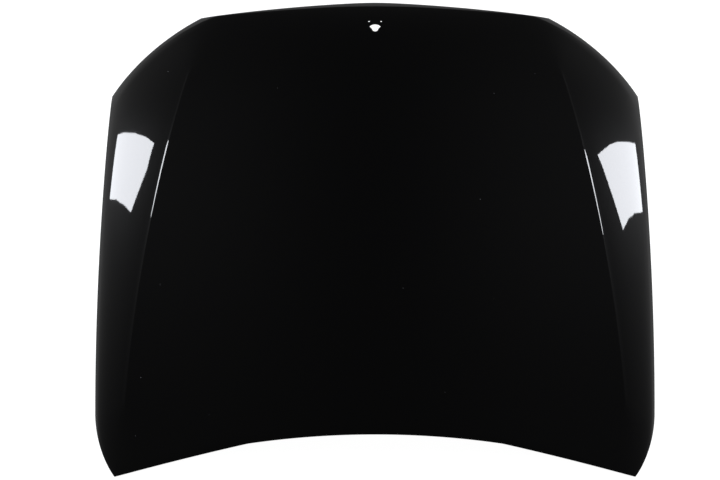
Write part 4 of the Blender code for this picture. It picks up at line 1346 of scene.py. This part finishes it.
floor_bm = bmesh.new()
bmesh.ops.create_grid(floor_bm, x_segments=1, y_segments=1, size=FLOOR_SIZE)
floor = new_object("floor", floor_bm)
floor_finish, tree, shader = new_finish("floor", FLOOR_GREY, FLOOR_ROUGHNESS)
shader.inputs["Specular IOR Level"].default_value = 0.0
shader.inputs["Emission Color"].default_value = (1.0, 1.0, 1.0, 1.0)
rays = tree.nodes.new("ShaderNodeLightPath")
seen = add_math(tree, "MAXIMUM", rays.outputs["Is Camera Ray"], rays.outputs["Is Glossy Ray"])
seen = add_math(tree, "MAXIMUM", seen, rays.outputs["Is Transmission Ray"])
tree.links.new(add_range(tree, seen, 0.0, 1.0, 0.0, FLOOR_GLOW),
               shader.inputs["Emission Strength"])
floor.data.materials.append(floor_finish)

# %% [markdown]
# ## Light
#
# A mirror-like black panel shows the room, so the lights are placed by what the paint mirrors.
# Each flank mirrors one tall soft light that stands beside the bonnet. I traced the edges of
# those two mirrored patches back off the crown to an upright plane on each side. Their corners
# there, as (y, z) pairs, are the corners of the two glowing panels.

# %% Light
PANEL_X = 2.2
PANELS = {
    "left_light": (-1, ((0.65, 0.54), (0.70, 0.80), (0.735, 1.12), (0.725, 1.42), (0.665, 1.70),
                        (0.42, 1.62), (0.155, 1.31), (0.21, 1.08), (0.242, 0.80), (0.245, 0.47))),
    "right_light": (1, ((0.56, 0.42), (0.602, 0.78), (0.628, 1.08), (0.615, 1.28), (0.525, 1.67),
                        (0.05, 1.22), (0.128, 1.03), (0.165, 0.80), (0.18, 0.37))),
}
PANEL_RADIANCE = 46.0
PANEL_COLOUR = 0.93, 0.95, 1.0, 1.0

soft_light, tree, shader = new_finish("soft_light", (0.0, 0.0, 0.0), 1.0)
shader.inputs["Emission Color"].default_value = PANEL_COLOUR
shader.inputs["Emission Strength"].default_value = PANEL_RADIANCE
for name, (side, corners) in PANELS.items():
    panel_bm = bmesh.new()
    bmesh.ops.create_circle(panel_bm, cap_ends=True, segments=len(corners), radius=1.0)
    panel_bm.verts.ensure_lookup_table()
    for vert, (y, z) in zip(panel_bm.verts, corners):
        vert.co = side * PANEL_X, y, z
    panel = new_object(name, panel_bm)
    panel.data.materials.append(soft_light)
    panel.visible_camera = False

# %% [markdown]
# ## The room
#
# The world is the room. Overhead, ahead and behind it is dark. It gets lighter towards both side
# walls, where the lights stand, and lightest low down beside the bonnet, where the pale ground
# meets the wall. Towards the rear the walls fade. All of it changes gently with direction, so no
# edge of the room shows in the paint.

# %% The room
ROOM_BASE = 0.10
ROOM_WALL = 0.11
WALL_RANGE = 0.0, 0.4
ROOM_GROUND = 1.35
ROOM_GROUND_POWER = 2.4
GROUND_RANGE = 0.3, 0.9
REAR_RANGE = -0.40, 0.0
REAR_SHARE = 0.3

world = bpy.data.worlds.new("room")
world.use_nodes = True
bpy.context.scene.world = world
tree = world.node_tree
where = tree.nodes.new("ShaderNodeTexCoord")
parts = tree.nodes.new("ShaderNodeSeparateXYZ")
tree.links.new(where.outputs["Generated"], parts.inputs["Vector"])
sideways = add_math(tree, "ABSOLUTE", parts.outputs["X"], 0.0)
wall = add_smooth(tree, sideways, *WALL_RANGE, 0.0, ROOM_WALL)
low_down = add_math(tree, "POWER", add_math(tree, "SUBTRACT", 1.0, parts.outputs["Z"]),
                    ROOM_GROUND_POWER)
ground = add_math(tree, "MULTIPLY", low_down,
                  add_smooth(tree, sideways, *GROUND_RANGE, 0.0, ROOM_GROUND))
lit = add_math(tree, "MULTIPLY", add_math(tree, "ADD", wall, ground),
               add_smooth(tree, parts.outputs["Y"], *REAR_RANGE, REAR_SHARE, 1.0))
total = add_math(tree, "ADD", lit, ROOM_BASE)
background = tree.nodes["Background"]
tree.links.new(total, background.inputs["Color"])
background.inputs["Strength"].default_value = 1.0

# %% [markdown]
# ## Finish
#
# The reinforcements and the weld nuts stay as the CAD model has them and only get their steel.

# %% Finish
bpy.context.scene.view_settings.view_transform = "Standard"
for name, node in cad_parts.items():
    if name.startswith(("hinge_", "latch_", "striker_nut")):
        node.data.materials.clear()
        node.data.materials.append(coated_steel)
